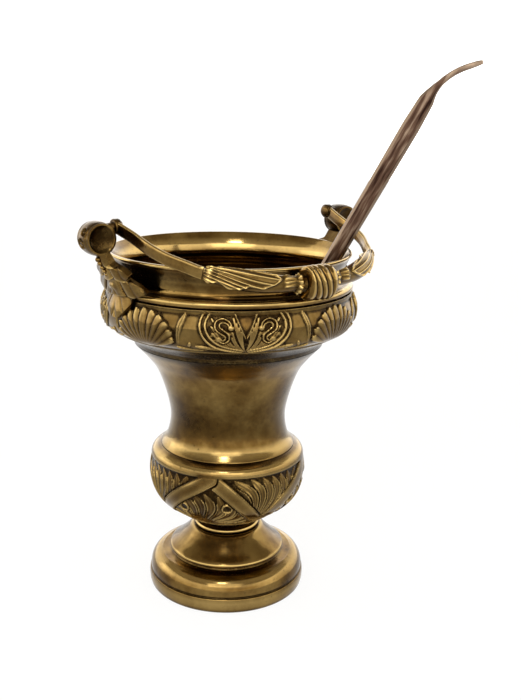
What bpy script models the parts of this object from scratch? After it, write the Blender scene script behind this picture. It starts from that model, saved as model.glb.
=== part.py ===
"""Holy water bucket with its sprinkler.

A turned brass bucket on a pedestal foot, with a folding bail on two scroll lugs, and a sprinkler
whose ball head stands in the bowl while its handle leans on the throat of the mouth.
Metres, +Z up. The lugs stand on +X and -X, and the bail lies folded towards -Y.
"""
import math

import bmesh
import bpy
import numpy as np
from mathutils import Vector

MM = 0.001

# Fits and walls
SEAM_GAP = 0.3 * MM
PIVOT_CLEARANCE = 0.4 * MM
VESSEL_WALL = 2.2 * MM
TONGUE_WALL = 1.8 * MM
TONGUE_DEPTH = 4.0 * MM

# Heights of the stacked sections, from the floor up
FOOT_HEIGHT = 47.5 * MM
STEM_HEIGHT = 10.0 * MM
LOWER_BOWL_HEIGHT = 58.5 * MM
WAIST_HEIGHT = 81.0 * MM
FRIEZE_HEIGHT = 41.5 * MM
NECK_HEIGHT = 27.5 * MM

# Foot and stem
FOOT_RADIUS = 61.0 * MM
FOOT_BAND_HEIGHT = 11.5 * MM
FOOT_WALL = 5.0 * MM
BAND_TOP_DRAW = 0.5 * MM
BAND_FOOT_DRAW = 2.0 * MM
OVOLO_HEIGHT = 14.0 * MM
OVOLO_RUN = 7.8 * MM
OVOLO_SETBACK = 1.2 * MM
CAVETTO_HEIGHT = 2.5 * MM
CAVETTO_RUN = 7.4 * MM
BELL_EDGE_HEIGHT = 3.5 * MM
BELL_TOP_RADIUS = 27.5 * MM
FOOT_WEB = 4.0 * MM
STEM_BEAD_RADIUS = 25.5 * MM
STEM_RADIUS = 19.5 * MM
STEM_TOP_FLARE = 3.5 * MM

# Bucket body
BOWL_FLOOR_RADIUS = 31.0 * MM
LOWER_BOWL_RADIUS = 60.3 * MM
LEDGE_RADIUS = 58.6 * MM
LEDGE_SLOPE = 3.5 * MM
LEDGE_DRAW = 1.0 * MM
LEDGE_UNDERCUT = 1.6 * MM
RIDGE_DROP = 6.5 * MM
RIDGE_HALF_HEIGHT = 1.0 * MM
BOWL_SEAM_SHARE = 0.41
WAIST_BASE_RADIUS = 51.5 * MM
WAIST_RADIUS = 43.7 * MM
FRIEZE_BASE_RADIUS = 70.9 * MM
FRIEZE_TOP_RADIUS = 91.4 * MM
FRIEZE_SWELL = 4.3 * MM
NECK_RING_OVERHANG = 0.2 * MM
NECK_RING_PROUD = 2.2 * MM
THROAT_DRAW = 8.2 * MM
RIM_FLARE = 6.8 * MM
LIP_THICKNESS = 2.0 * MM

# Tie bolt through the floor, the stem and the top of the foot
BOLT_RADIUS = 4.0 * MM
BOLT_HEAD_RADIUS = 9.0 * MM
BOLT_HEAD_HEIGHT = 4.5 * MM
SEAL_RADIUS = 12.0 * MM
SEAL_THICKNESS = 1.6 * MM
WASHER_RADIUS = 10.0 * MM
WASHER_THICKNESS = 1.6 * MM
NUT_RADIUS = 7.6 * MM
NUT_HEIGHT = 6.4 * MM
BOLT_END = 3.0 * MM

# Lugs: a leaf on the frieze, two pairs of side lobes round the neck, a stalk and a rolled scroll
LUG_OVERHANG = 19.0 * MM
SCROLL_RADIUS = 11.7 * MM
SCROLL_LENGTH = 14.5 * MM
SCROLL_RISE = 15.0 * MM
SCROLL_WALL = 2.2 * MM
SCROLL_RECESS = 3.0 * MM
LEAF_WIDTH = 26.0 * MM
LOBE_WIDTH = 53.0 * MM
LEAF_DROP = 12.5 * MM
STALK_WIDTH = 13.6 * MM
STALK_THICKNESS = 8.5 * MM
RIVET_RADIUS = 1.6 * MM
RIVET_HEAD_RADIUS = 3.2 * MM
RIVET_HEAD_HEIGHT = 1.4 * MM
RIVET_SPACING = 13.0 * MM
RIVET_BITE = 1.8 * MM
RIVET_TONGUE_GAP = 1.3 * MM

# Bail: two straps, two leaf grips that start at a share of the half span, and a middle knot
PIVOT_RISE = 22.0 * MM
PIN_RADIUS = 2.6 * MM
PIN_HEAD_RADIUS = 4.2 * MM
PIN_HEAD_HEIGHT = 1.5 * MM
PIN_BITE = 12.0 * MM
BOSS_RADIUS = 5.2 * MM
BOSS_LENGTH = 4.8 * MM
BOSS_PROUD = 1.4 * MM
STRAP_WIDTH = 8.5 * MM
STRAP_THICKNESS = 3.2 * MM
GRIP_START = 0.756
GRIP_STEP = 0.8 * MM
GRIP_RADIUS = 8.0 * MM
GRIP_FLATNESS = 1.0 * MM
GRIP_END_RADIUS = 7.0 * MM
KNOT_RADIUS = 10.0 * MM
KNOT_LENGTH = 23.0 * MM
KNOT_TALLNESS = 1.25
KNOT_CLEARANCE = 0.85 * MM
BAIL_DROOP = math.radians(17.8)

# Sprinkler: ball head, ferrule and curled handle, measured from the middle of the ball
BALL_RADIUS = 15.2 * MM
BALL_WALL = 1.4 * MM
BALL_LAP = 3.0 * MM
BALL_HOLE_RADIUS = 1.3 * MM
HEAD_SPIGOT_RADIUS = 4.6 * MM
HEAD_SPIGOT_LENGTH = 8.0 * MM
HEAD_OFFSET = 25.0 * MM
HEAD_AZIMUTH = math.radians(108.8)
FERRULE_RADIUS = 7.4 * MM
FERRULE_LENGTH = 24.0 * MM
FERRULE_BEAD = 3.0 * MM
SOCKET_DEPTH = 12.0 * MM
HANDLE_LENGTH = 338.0 * MM
HANDLE_WIDTH = 10.8 * MM
HANDLE_TOP_WIDTH = 12.8 * MM
HANDLE_TENON_RADIUS = 4.6 * MM
CURL_RADIUS = 48.0 * MM
CURL_ANGLE = math.radians(43.0)
CURL_TIP = 11.0 * MM
CURL_THICKNESS = 4.6 * MM
CURL_WIDTH = 12.5 * MM
LEAN_AZIMUTH = math.radians(-37.2)

# Smoothness of the round stretches
TURN_STEPS = 36
SMALL_TURN_STEPS = 20
TINY_TURN_STEPS = 12
CURVE_STEPS = 2

# Levels and places that follow from the sizes above
STEM_BASE = FOOT_HEIGHT
BOWL_BASE = STEM_BASE + STEM_HEIGHT
WAIST_BASE = BOWL_BASE + LOWER_BOWL_HEIGHT
FRIEZE_BASE = WAIST_BASE + WAIST_HEIGHT
NECK_BASE = FRIEZE_BASE + FRIEZE_HEIGHT
RIM_LEVEL = NECK_BASE + NECK_HEIGHT
THROAT_LEVEL = NECK_BASE + 0.5 * NECK_HEIGHT
OVOLO_TOP_RADIUS = FOOT_RADIUS - OVOLO_SETBACK - OVOLO_RUN
BELL_EDGE_RADIUS = OVOLO_TOP_RADIUS - CAVETTO_RUN
FRIEZE_RADIUS = FRIEZE_TOP_RADIUS + FRIEZE_SWELL
NECK_RING_RADIUS = FRIEZE_TOP_RADIUS + NECK_RING_OVERHANG
THROAT_RADIUS = FRIEZE_TOP_RADIUS - THROAT_DRAW
RIM_RADIUS = THROAT_RADIUS + RIM_FLARE
BOLT_BORE = BOLT_RADIUS + SEAM_GAP
FLOOR_LEVEL = BOWL_BASE + SEAM_GAP + VESSEL_WALL
PIVOT_LEVEL = RIM_LEVEL + PIVOT_RISE
SCROLL_REACH = RIM_RADIUS + LUG_OVERHANG
SCROLL_LEVEL = RIM_LEVEL + SCROLL_RISE
SCROLL_INNER_FACE = SCROLL_REACH - math.sqrt(SCROLL_RADIUS ** 2 - (PIVOT_RISE - SCROLL_RISE) ** 2)
BOSS_OUTER_FACE = SCROLL_REACH - SCROLL_RADIUS - SEAM_GAP
BOSS_INNER_FACE = BOSS_OUTER_FACE - BOSS_LENGTH
BAIL_HALF_SPAN = BOSS_INNER_FACE + BOSS_PROUD + STRAP_THICKNESS / 2
BAIL_REACH = math.hypot(RIM_RADIUS, PIVOT_RISE) + KNOT_RADIUS + KNOT_CLEARANCE
OCTAGON = 1 / math.cos(math.pi / 8)
FERRULE_BASE = math.sqrt(BALL_RADIUS ** 2 - FERRULE_RADIUS ** 2) + 2 * SEAM_GAP

BRASS = ("aged_brass", (0.36, 0.25, 0.11), 0.32, 1.0)
DARK_BRASS = ("dark_brass", (0.20, 0.13, 0.06), 0.40, 1.0)
HANDLE_BRONZE = ("handle_bronze", (0.17, 0.09, 0.05), 0.38, 1.0)
STEEL = ("steel", (0.45, 0.45, 0.46), 0.45, 1.0)
RUBBER = ("seal_rubber", (0.03, 0.03, 0.03), 0.80, 0.0)
SPONGE = ("sponge", (0.62, 0.52, 0.33), 0.95, 0.0)


def clear_scene():
    for old in list(bpy.data.objects):
        bpy.data.objects.remove(old, do_unlink=True)


def make_collection(name):
    collection = bpy.data.collections.new(name)
    bpy.context.scene.collection.children.link(collection)
    return collection


def material(finish):
    name, colour, roughness, metallic = finish
    found = bpy.data.materials.get(name)
    if found:
        return found
    made = bpy.data.materials.new(name)
    made.use_nodes = True
    shader = made.node_tree.nodes["Principled BSDF"]
    shader.inputs["Base Color"].default_value = (*colour, 1.0)
    shader.inputs["Roughness"].default_value = roughness
    shader.inputs["Metallic"].default_value = metallic
    return made


def smooth(points, steps=CURVE_STEPS):
    """Points along a smooth curve through the given points, the same ends kept."""
    p = [np.array(q, float) for q in points]
    p = [2 * p[0] - p[1]] + p + [2 * p[-1] - p[-2]]
    curve = []
    for a, b, c, d in zip(p, p[1:], p[2:], p[3:]):
        for k in range(steps):
            t = k / steps
            curve.append(0.5 * (2 * b + (c - a) * t + (2 * a - 5 * b + 4 * c - d) * t ** 2
                                + (3 * b - a - 3 * c + d) * t ** 3))
    curve.append(p[-2])
    return [tuple(q) for q in curve]


def inside(outline, wall):
    """The outline of the inner face, one wall in from an outline that runs down the outer side."""
    p = np.array(outline)
    along = np.gradient(p, axis=0)
    along /= np.linalg.norm(along, axis=1)[:, None]
    inward = np.stack([along[:, 1], -along[:, 0]], axis=1)
    return [tuple(q) for q in p + wall * inward]


def radius_at(outline, level):
    p = np.array(sorted(outline, key=lambda q: q[1]))
    return float(np.interp(level, p[:, 1], p[:, 0]))


def add_object(name, mesh, finish, collection, parent=None):
    obj = bpy.data.objects.new(name, mesh)
    collection.objects.link(obj)
    obj.parent = parent
    if finish:
        mesh.materials.append(material(finish))
        mesh.shade_smooth()
        mesh.set_sharp_from_angle(angle=math.radians(35))
    else:
        obj.hide_render = True
        obj.display_type = "WIRE"
    return obj


def turned(name, outline, finish, collection, parent=None, closed=True, steps=TURN_STEPS):
    """A shape turned on Z. The outline runs down the outer side, then back up the inner one."""
    mesh = bpy.data.meshes.new(name)
    count = len(outline)
    edges = [(k, (k + 1) % count) for k in range(count if closed else count - 1)]
    mesh.from_pydata([(r, 0.0, z) for r, z in outline], edges, [])
    obj = add_object(name, mesh, finish, collection, parent)
    screw = obj.modifiers.new("turn", "SCREW")
    screw.axis = "Z"
    screw.steps = screw.render_steps = steps
    screw.use_merge_vertices = True
    screw.merge_threshold = 0.000001
    return obj


def loft(name, rings, finish, collection, parent=None):
    """A closed solid through rings of points that all run the same way round."""
    form = bmesh.new()
    made = [[form.verts.new(p) for p in ring] for ring in rings]
    for low, high in zip(made, made[1:]):
        for k in range(len(low)):
            n = (k + 1) % len(low)
            form.faces.new((low[k], low[n], high[n], high[k]))
    form.faces.new(made[0])
    form.faces.new(made[-1])
    bmesh.ops.recalc_face_normals(form, faces=form.faces)
    mesh = bpy.data.meshes.new(name)
    form.to_mesh(mesh)
    form.free()
    return add_object(name, mesh, finish, collection, parent)


def rod(name, radius, start, end, collection, parent=None, sides=SMALL_TURN_STEPS, finish=None):
    """A round bar from one point to another."""
    start, end = Vector(start), Vector(end)
    form = bmesh.new()
    bmesh.ops.create_cone(form, cap_ends=True, segments=sides, radius1=radius, radius2=radius,
                          depth=(end - start).length)
    mesh = bpy.data.meshes.new(name)
    form.to_mesh(mesh)
    form.free()
    obj = add_object(name, mesh, finish, collection, parent)
    obj.location = (start + end) / 2
    obj.rotation_mode = "QUATERNION"
    obj.rotation_quaternion = (end - start).to_track_quat("Z", "Y")
    return obj


def combine(obj, other, operation):
    step = obj.modifiers.new(other.name, "BOOLEAN")
    step.operation = operation
    step.object = other


def foot_outline():
    band_top = FOOT_BAND_HEIGHT
    ovolo_top = band_top + OVOLO_HEIGHT
    edge_low = ovolo_top + CAVETTO_HEIGHT
    edge_high = edge_low + BELL_EDGE_HEIGHT
    bell_rise = FOOT_HEIGHT - edge_high
    bell_run = BELL_EDGE_RADIUS - BELL_TOP_RADIUS
    bell = smooth([(BELL_TOP_RADIUS, FOOT_HEIGHT),
                   (BELL_TOP_RADIUS + 0.30 * bell_run, FOOT_HEIGHT - 0.36 * bell_rise),
                   (BELL_TOP_RADIUS + 0.62 * bell_run, FOOT_HEIGHT - 0.68 * bell_rise),
                   (BELL_EDGE_RADIUS, edge_high)])
    swell = [(OVOLO_TOP_RADIUS + OVOLO_RUN * math.sin(a), band_top + OVOLO_HEIGHT * math.cos(a))
             for a in np.linspace(0.0, math.radians(90), 5)]
    cavetto = [(BELL_EDGE_RADIUS, edge_low),
               (0.4 * BELL_EDGE_RADIUS + 0.6 * OVOLO_TOP_RADIUS, ovolo_top + 0.12 * CAVETTO_HEIGHT)]
    floor_radius = FOOT_RADIUS - BAND_FOOT_DRAW
    band = [(FOOT_RADIUS - BAND_TOP_DRAW, band_top), (FOOT_RADIUS, 0.5 * band_top), (floor_radius, 0.0)]
    under = [(floor_radius - FOOT_WALL, 0.0),
             (floor_radius - FOOT_WALL, 0.8 * band_top),
             (BELL_EDGE_RADIUS - FOOT_WALL, edge_low - 0.5 * FOOT_WEB),
             (BELL_TOP_RADIUS + 0.30 * bell_run - FOOT_WALL, FOOT_HEIGHT - 0.36 * bell_rise - FOOT_WEB),
             (BELL_TOP_RADIUS - FOOT_WALL, FOOT_HEIGHT - FOOT_WEB),
             (BOLT_BORE, FOOT_HEIGHT - FOOT_WEB)]
    return [(BOLT_BORE, FOOT_HEIGHT)] + bell + cavetto + swell + band + under


def stem_outline():
    low, high = STEM_BASE + SEAM_GAP, BOWL_BASE
    rise = high - low
    return [(BOLT_BORE, high),
            (STEM_RADIUS + STEM_TOP_FLARE, high),
            (STEM_RADIUS, low + 0.72 * rise),
            (STEM_RADIUS, low + 0.42 * rise),
            (0.94 * STEM_BEAD_RADIUS, low + 0.36 * rise),
            (STEM_BEAD_RADIUS, low + 0.20 * rise),
            (0.96 * STEM_BEAD_RADIUS, low),
            (BOLT_BORE, low)]


def lower_bowl_face():
    """The outer side of the lower bowl's swell, without its ledge."""
    low = BOWL_BASE + SEAM_GAP
    rise = WAIST_BASE - low
    run = LOWER_BOWL_RADIUS - BOWL_FLOOR_RADIUS
    return smooth([(LEDGE_RADIUS - LEDGE_UNDERCUT, low + 0.84 * rise),
                   (LOWER_BOWL_RADIUS, low + 0.63 * rise),
                   (LOWER_BOWL_RADIUS - 0.09 * run, low + 0.41 * rise),
                   (LOWER_BOWL_RADIUS - 0.31 * run, low + 0.24 * rise),
                   (LOWER_BOWL_RADIUS - 0.77 * run, low + 0.07 * rise),
                   (BOWL_FLOOR_RADIUS, low)])


def lower_bowl_inner_face():
    """From the top of the bowl down to its flat floor."""
    low = BOWL_BASE + SEAM_GAP
    ledge = WAIST_BASE - LEDGE_SLOPE
    outer = [(WAIST_BASE_RADIUS, WAIST_BASE), (LEDGE_RADIUS - LEDGE_DRAW, ledge)] + lower_bowl_face()[2:]
    face = [q for q in inside(outer, VESSEL_WALL)[::2] if low + VESSEL_WALL < q[1] < ledge]
    return [(WAIST_BASE_RADIUS - VESSEL_WALL, WAIST_BASE)] + face + [
        (BOWL_FLOOR_RADIUS - VESSEL_WALL, FLOOR_LEVEL)]


def lower_bowl_outlines():
    """The cup with the floor, and the band with the ledge that meets it at a plain seam."""
    low = BOWL_BASE + SEAM_GAP
    seam = low + BOWL_SEAM_SHARE * (WAIST_BASE - low)
    over = seam + SEAM_GAP
    face, inner = lower_bowl_face(), lower_bowl_inner_face()
    cup = [(radius_at(inner, seam), seam), (radius_at(face, seam), seam)]
    cup += [q for q in face if q[1] < seam - SEAM_GAP]
    cup += [(BOLT_BORE, low), (BOLT_BORE, FLOOR_LEVEL)]
    cup += [q for q in inner[::-1] if q[1] < seam - SEAM_GAP]
    ridge = WAIST_BASE - RIDGE_DROP
    band = [(WAIST_BASE_RADIUS - VESSEL_WALL, WAIST_BASE),
            (WAIST_BASE_RADIUS, WAIST_BASE),
            (LEDGE_RADIUS - LEDGE_DRAW, WAIST_BASE - LEDGE_SLOPE),
            (LEDGE_RADIUS, ridge + RIDGE_HALF_HEIGHT),
            (LEDGE_RADIUS - 0.3 * LEDGE_DRAW, ridge - RIDGE_HALF_HEIGHT)]
    band += [q for q in face if q[1] > over + SEAM_GAP]
    band += [(radius_at(face, over), over), (radius_at(inner, over), over)]
    band += [q for q in inner[:0:-1] if q[1] > over + SEAM_GAP]
    return cup, band


def waist_face():
    low = WAIST_BASE + SEAM_GAP
    rise = FRIEZE_BASE - low
    flare = FRIEZE_BASE_RADIUS - WAIST_RADIUS
    base = WAIST_BASE_RADIUS - WAIST_RADIUS
    return smooth([(FRIEZE_BASE_RADIUS, FRIEZE_BASE),
                   (WAIST_RADIUS + 0.66 * flare, low + 0.876 * rise),
                   (WAIST_RADIUS + 0.395 * flare, low + 0.752 * rise),
                   (WAIST_RADIUS + 0.18 * flare, low + 0.57 * rise),
                   (WAIST_RADIUS + 0.03 * flare, low + 0.37 * rise),
                   (WAIST_RADIUS + 0.04 * base, low + 0.23 * rise),
                   (WAIST_RADIUS + 0.36 * base, low + 0.09 * rise),
                   (WAIST_BASE_RADIUS, low)])


def tongue(level, radius):
    """The lap below a seam that enters the piece beneath, one gap inside the given radius."""
    outer = radius - SEAM_GAP
    return [(outer, level), (outer, level - TONGUE_DEPTH),
            (outer - TONGUE_WALL, level - TONGUE_DEPTH), (outer - TONGUE_WALL, level)]


def waist_outline():
    face = waist_face()
    lap = tongue(WAIST_BASE + SEAM_GAP, WAIST_BASE_RADIUS - VESSEL_WALL)
    inner = [q for q in inside(face, VESSEL_WALL)[::2]
             if WAIST_BASE + 4 * SEAM_GAP < q[1] < FRIEZE_BASE - VESSEL_WALL]
    top = (FRIEZE_BASE_RADIUS - 1.5 * VESSEL_WALL, FRIEZE_BASE)
    return [top] + face + lap + inner[::-1]


def frieze_face():
    low = FRIEZE_BASE + SEAM_GAP
    rise = NECK_BASE - low
    run = FRIEZE_RADIUS - FRIEZE_BASE_RADIUS
    return smooth([(FRIEZE_TOP_RADIUS, NECK_BASE),
                   (FRIEZE_TOP_RADIUS + 0.55 * FRIEZE_SWELL, low + 0.86 * rise),
                   (FRIEZE_RADIUS, low + 0.70 * rise),
                   (FRIEZE_RADIUS - 0.04 * run, low + 0.50 * rise),
                   (FRIEZE_RADIUS - 0.17 * run, low + 0.355 * rise),
                   (FRIEZE_RADIUS - 0.46 * run, low + 0.235 * rise),
                   (FRIEZE_BASE_RADIUS, low)])


def frieze_outline():
    face = frieze_face()
    low = FRIEZE_BASE + SEAM_GAP
    waist_inner = inside(waist_face(), VESSEL_WALL)
    lap_level = low - TONGUE_DEPTH
    lap_top = FRIEZE_BASE_RADIUS - 1.5 * VESSEL_WALL - 2 * SEAM_GAP
    lap_low = radius_at(waist_inner, lap_level) - 2 * SEAM_GAP
    lap = [(lap_top, low), (lap_low, lap_level), (lap_low - TONGUE_WALL, lap_level),
           (lap_top - TONGUE_WALL, low + 0.5 * VESSEL_WALL)]
    inner = [q for q in inside(face, VESSEL_WALL)[::2]
             if low + VESSEL_WALL < q[1] < NECK_BASE - VESSEL_WALL]
    top = (FRIEZE_TOP_RADIUS - VESSEL_WALL, NECK_BASE)
    return [top] + face + lap + inner[::-1]


def neck_throat():
    """The concave outer side between the lip and the ring."""
    low = NECK_BASE + SEAM_GAP
    rise = RIM_LEVEL - low
    return smooth([(RIM_RADIUS, RIM_LEVEL - 0.8 * LIP_THICKNESS),
                   (THROAT_RADIUS + 0.45 * RIM_FLARE, low + 0.76 * rise),
                   (THROAT_RADIUS, THROAT_LEVEL),
                   (THROAT_RADIUS + 0.25 * RIM_FLARE, low + 0.24 * rise)])


def neck_ring():
    low = NECK_BASE + SEAM_GAP
    rise = RIM_LEVEL - low
    return [(NECK_RING_RADIUS - NECK_RING_PROUD, low + 0.21 * rise),
            (NECK_RING_RADIUS - 0.23 * NECK_RING_PROUD, low + 0.18 * rise),
            (NECK_RING_RADIUS, low + 0.10 * rise),
            (NECK_RING_RADIUS - 0.45 * NECK_RING_PROUD, low)]


def neck_outline():
    low = NECK_BASE + SEAM_GAP
    lip = [(RIM_RADIUS - LIP_THICKNESS, RIM_LEVEL), (RIM_RADIUS - 0.3 * LIP_THICKNESS, RIM_LEVEL)]
    throat = neck_throat()
    lap = tongue(low, FRIEZE_TOP_RADIUS - VESSEL_WALL)
    inner = [q for q in inside(throat, VESSEL_WALL)
             if low + 0.28 * NECK_HEIGHT < q[1] < RIM_LEVEL - 1.5 * LIP_THICKNESS]
    return lip + throat + neck_ring() + lap + inner[::-1]


def build_vessel(parts, root):
    """The stacked sections. Returns the upper bowl, whose wall the lug rivets pass through."""
    turned("foot_base", foot_outline(), BRASS, parts, root)
    turned("stem_collar", stem_outline(), BRASS, parts, root, steps=SMALL_TURN_STEPS)
    cup, band = lower_bowl_outlines()
    turned("lower_bowl_cup", cup, BRASS, parts, root)
    turned("lower_bowl_band", band, BRASS, parts, root)
    turned("waist_shell", waist_outline(), BRASS, parts, root)
    turned("neck_rim", neck_outline(), BRASS, parts, root)
    return turned("upper_bowl", frieze_outline(), BRASS, parts, root)


def washer(name, radius, low, thickness, finish, parts, root):
    high = low + thickness
    outline = [(BOLT_BORE, high), (radius, high), (radius, low), (BOLT_BORE, low)]
    return turned(name, outline, finish, parts, root, steps=SMALL_TURN_STEPS)


def build_tie_bolt(parts, cutters, root):
    """A bolt with its head in the bowl draws bowl, stem and foot together against a nut below."""
    seal_low = FLOOR_LEVEL + SEAM_GAP
    head_low = seal_low + SEAL_THICKNESS + SEAM_GAP
    washer_low = FOOT_HEIGHT - FOOT_WEB - SEAM_GAP - WASHER_THICKNESS
    nut_low = washer_low - SEAM_GAP - NUT_HEIGHT
    dome = [(BOLT_HEAD_RADIUS * math.sin(a), head_low + BOLT_HEAD_HEIGHT * math.cos(a))
            for a in np.linspace(0.0, math.radians(90), 6)]
    dome[0] = (0.0, dome[0][1])
    shank = [(BOLT_RADIUS, head_low), (BOLT_RADIUS, nut_low - BOLT_END), (0.0, nut_low - BOLT_END)]
    turned("tie_bolt", dome + shank, DARK_BRASS, parts, root, closed=False, steps=SMALL_TURN_STEPS)
    washer("bowl_seal", SEAL_RADIUS, seal_low, SEAL_THICKNESS, RUBBER, parts, root)
    washer("foot_washer", WASHER_RADIUS, washer_low, WASHER_THICKNESS, STEEL, parts, root)
    nut = rod("foot_nut", NUT_RADIUS, (0, 0, nut_low), (0, 0, nut_low + NUT_HEIGHT), parts, root,
              sides=6, finish=STEEL)
    bore = rod("nut_bore", BOLT_BORE, (0, 0, nut_low - BOLT_END), (0, 0, washer_low), cutters, root)
    combine(nut, bore, "DIFFERENCE")


def lug_stations():
    """Inner face of the lug from the leaf's tip up to the scroll: radius, level, half width, thickness."""
    wall = frieze_face() + neck_ring()
    leaf, lobe, stalk = LEAF_WIDTH / 2, LOBE_WIDTH / 2, STALK_WIDTH / 2
    tip_level = NECK_BASE - LEAF_DROP
    ring_top = NECK_BASE + 0.18 * NECK_HEIGHT
    on_wall = [(0.0, 0.38, 0.30), (0.3, 0.85, 0.45), (0.58, 1.0, 0.58), (0.84, 0.92, 0.66), (1.0, 1.0, 0.72)]
    stations = []
    for share, width, depth in on_wall:
        level = tip_level + share * (ring_top - tip_level)
        radius = radius_at(wall, level) + 2 * SEAM_GAP
        stations.append((radius, level, width * leaf, depth * STALK_THICKNESS))
    low = stations[-1]
    high = (SCROLL_REACH - 0.5 * SCROLL_RADIUS, SCROLL_LEVEL - 0.75 * SCROLL_RADIUS)
    free = [(0.15, 0.08, lobe, 0.78), (0.30, 0.13, 0.9 * lobe, 0.84), (0.42, 0.14, 0.64 * lobe, 0.9),
            (0.54, 0.13, 0.8 * lobe, 0.94), (0.66, 0.10, 0.66 * lobe, 1.0), (0.78, 0.06, 1.15 * stalk, 1.0),
            (1.0, 0.0, stalk, 1.0)]
    for share, bow, half, depth in free:
        radius = low[0] + (share - bow) * (high[0] - low[0])
        level = low[1] + share * (high[1] - low[1])
        stations.append((radius, level, half, depth * STALK_THICKNESS))
    return stations


def lug_rings(side):
    stations = lug_stations()
    path = np.array([(r, z) for r, z, _, _ in stations])
    along = np.gradient(path, axis=0)
    along /= np.linalg.norm(along, axis=1)[:, None]
    across = np.linspace(-1.0, 1.0, 5)
    rings = []
    for (radius, level, half, depth), (run, rise) in zip(stations, along):
        ring = []
        for share in across:
            turn = share * half / radius
            ring.append((side * radius * math.cos(turn), radius * math.sin(turn), level))
        for share in across[::-1]:
            turn = share * half / radius
            swell = depth * (1 - 0.45 * share ** 2)
            reach = radius + swell * rise
            ring.append((side * reach * math.cos(turn), reach * math.sin(turn), level - swell * run))
        rings.append(ring)
    return rings


def rivet_level():
    """Low enough for the rivet heads to clear the neck's tongue."""
    return NECK_BASE - TONGUE_DEPTH - RIVET_HEAD_RADIUS - RIVET_TONGUE_GAP


def build_lug(name, side, parts, cutters, root, frieze):
    lug = loft(name, lug_rings(side), BRASS, parts, root)
    middle = side * SCROLL_REACH
    half = SCROLL_LENGTH / 2
    scroll = rod(name + "_scroll", SCROLL_RADIUS, (middle, -half, SCROLL_LEVEL),
                 (middle, half, SCROLL_LEVEL), cutters, root, sides=TURN_STEPS)
    combine(lug, scroll, "UNION")
    for end in (-1, 1):
        recess = rod(f"{name}_recess_{end}", SCROLL_RADIUS - SCROLL_WALL,
                     (middle, end * (half - SCROLL_RECESS), SCROLL_LEVEL),
                     (middle, end * (half + SCROLL_RECESS), SCROLL_LEVEL), cutters, root)
        combine(lug, recess, "DIFFERENCE")
    bore_end = SCROLL_INNER_FACE + PIN_BITE + SEAM_GAP
    bore = rod(name + "_bore", PIN_RADIUS + PIVOT_CLEARANCE,
               (side * BOSS_INNER_FACE, 0, PIVOT_LEVEL), (side * bore_end, 0, PIVOT_LEVEL), cutters, root)
    combine(lug, bore, "DIFFERENCE")
    build_rivets(name, side, parts, cutters, root, lug, frieze)


def build_rivets(name, side, parts, cutters, root, lug, frieze):
    """Two rivets from inside the bucket hold the leaf to the frieze wall."""
    level = rivet_level()
    offset = RIVET_SPACING / 2
    face = radius_at(frieze_face(), level)
    outer = math.sqrt(face ** 2 - offset ** 2)
    inner_wall = radius_at(inside(frieze_face(), VESSEL_WALL), level + RIVET_HEAD_RADIUS)
    inner = math.sqrt(inner_wall ** 2 - (offset + RIVET_HEAD_RADIUS) ** 2) - SEAM_GAP
    end = outer + 2 * SEAM_GAP + RIVET_BITE
    outline = [(0.0, end), (RIVET_RADIUS, end), (RIVET_RADIUS, inner), (RIVET_HEAD_RADIUS, inner),
               (0.7 * RIVET_HEAD_RADIUS, inner - RIVET_HEAD_HEIGHT), (0.0, inner - RIVET_HEAD_HEIGHT)]
    for word, place in (("front", -1), ("back", 1)):
        rivet = turned(f"{name}_{word}_rivet", outline, BRASS, parts, root, closed=False,
                       steps=TINY_TURN_STEPS)
        rivet.location = (0, place * offset, level)
        rivet.rotation_euler = (0, side * math.radians(90), 0)
        hole = rod(f"{name}_{word}_rivet_hole", RIVET_RADIUS + SEAM_GAP,
                   (side * (inner - RIVET_HEAD_HEIGHT), place * offset, level),
                   (side * (end + SEAM_GAP), place * offset, level), cutters, root,
                   sides=TINY_TURN_STEPS)
        combine(lug, hole, "DIFFERENCE")
        combine(frieze, hole, "DIFFERENCE")


def bail_curve():
    """One half of the bail's centre line in its own plane, from the pivot to the middle."""
    shape = [(1.0, 0.0), (0.966, 0.17), (0.945, 0.355), (0.903, 0.50), (0.83, 0.62), (GRIP_START, 0.73),
             (0.60, 0.84), (0.47, 0.908), (0.336, 0.953), (0.18, 0.984), (0.0, 1.0)]
    return np.array(smooth([(u * BAIL_HALF_SPAN, -w * BAIL_REACH) for u, w in shape], 6))


def bail_rings(stations, side):
    """Rings across the bail at stations of place, direction, half depth, half height and corners."""
    rings = []
    for place, along, depth, height, corners in stations:
        across = np.array([-along[1], along[0]])
        ring = []
        for a, b in corners:
            p = place + a * depth * across
            ring.append((side * p[0], p[1], b * height))
        rings.append(ring)
    return rings


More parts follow.
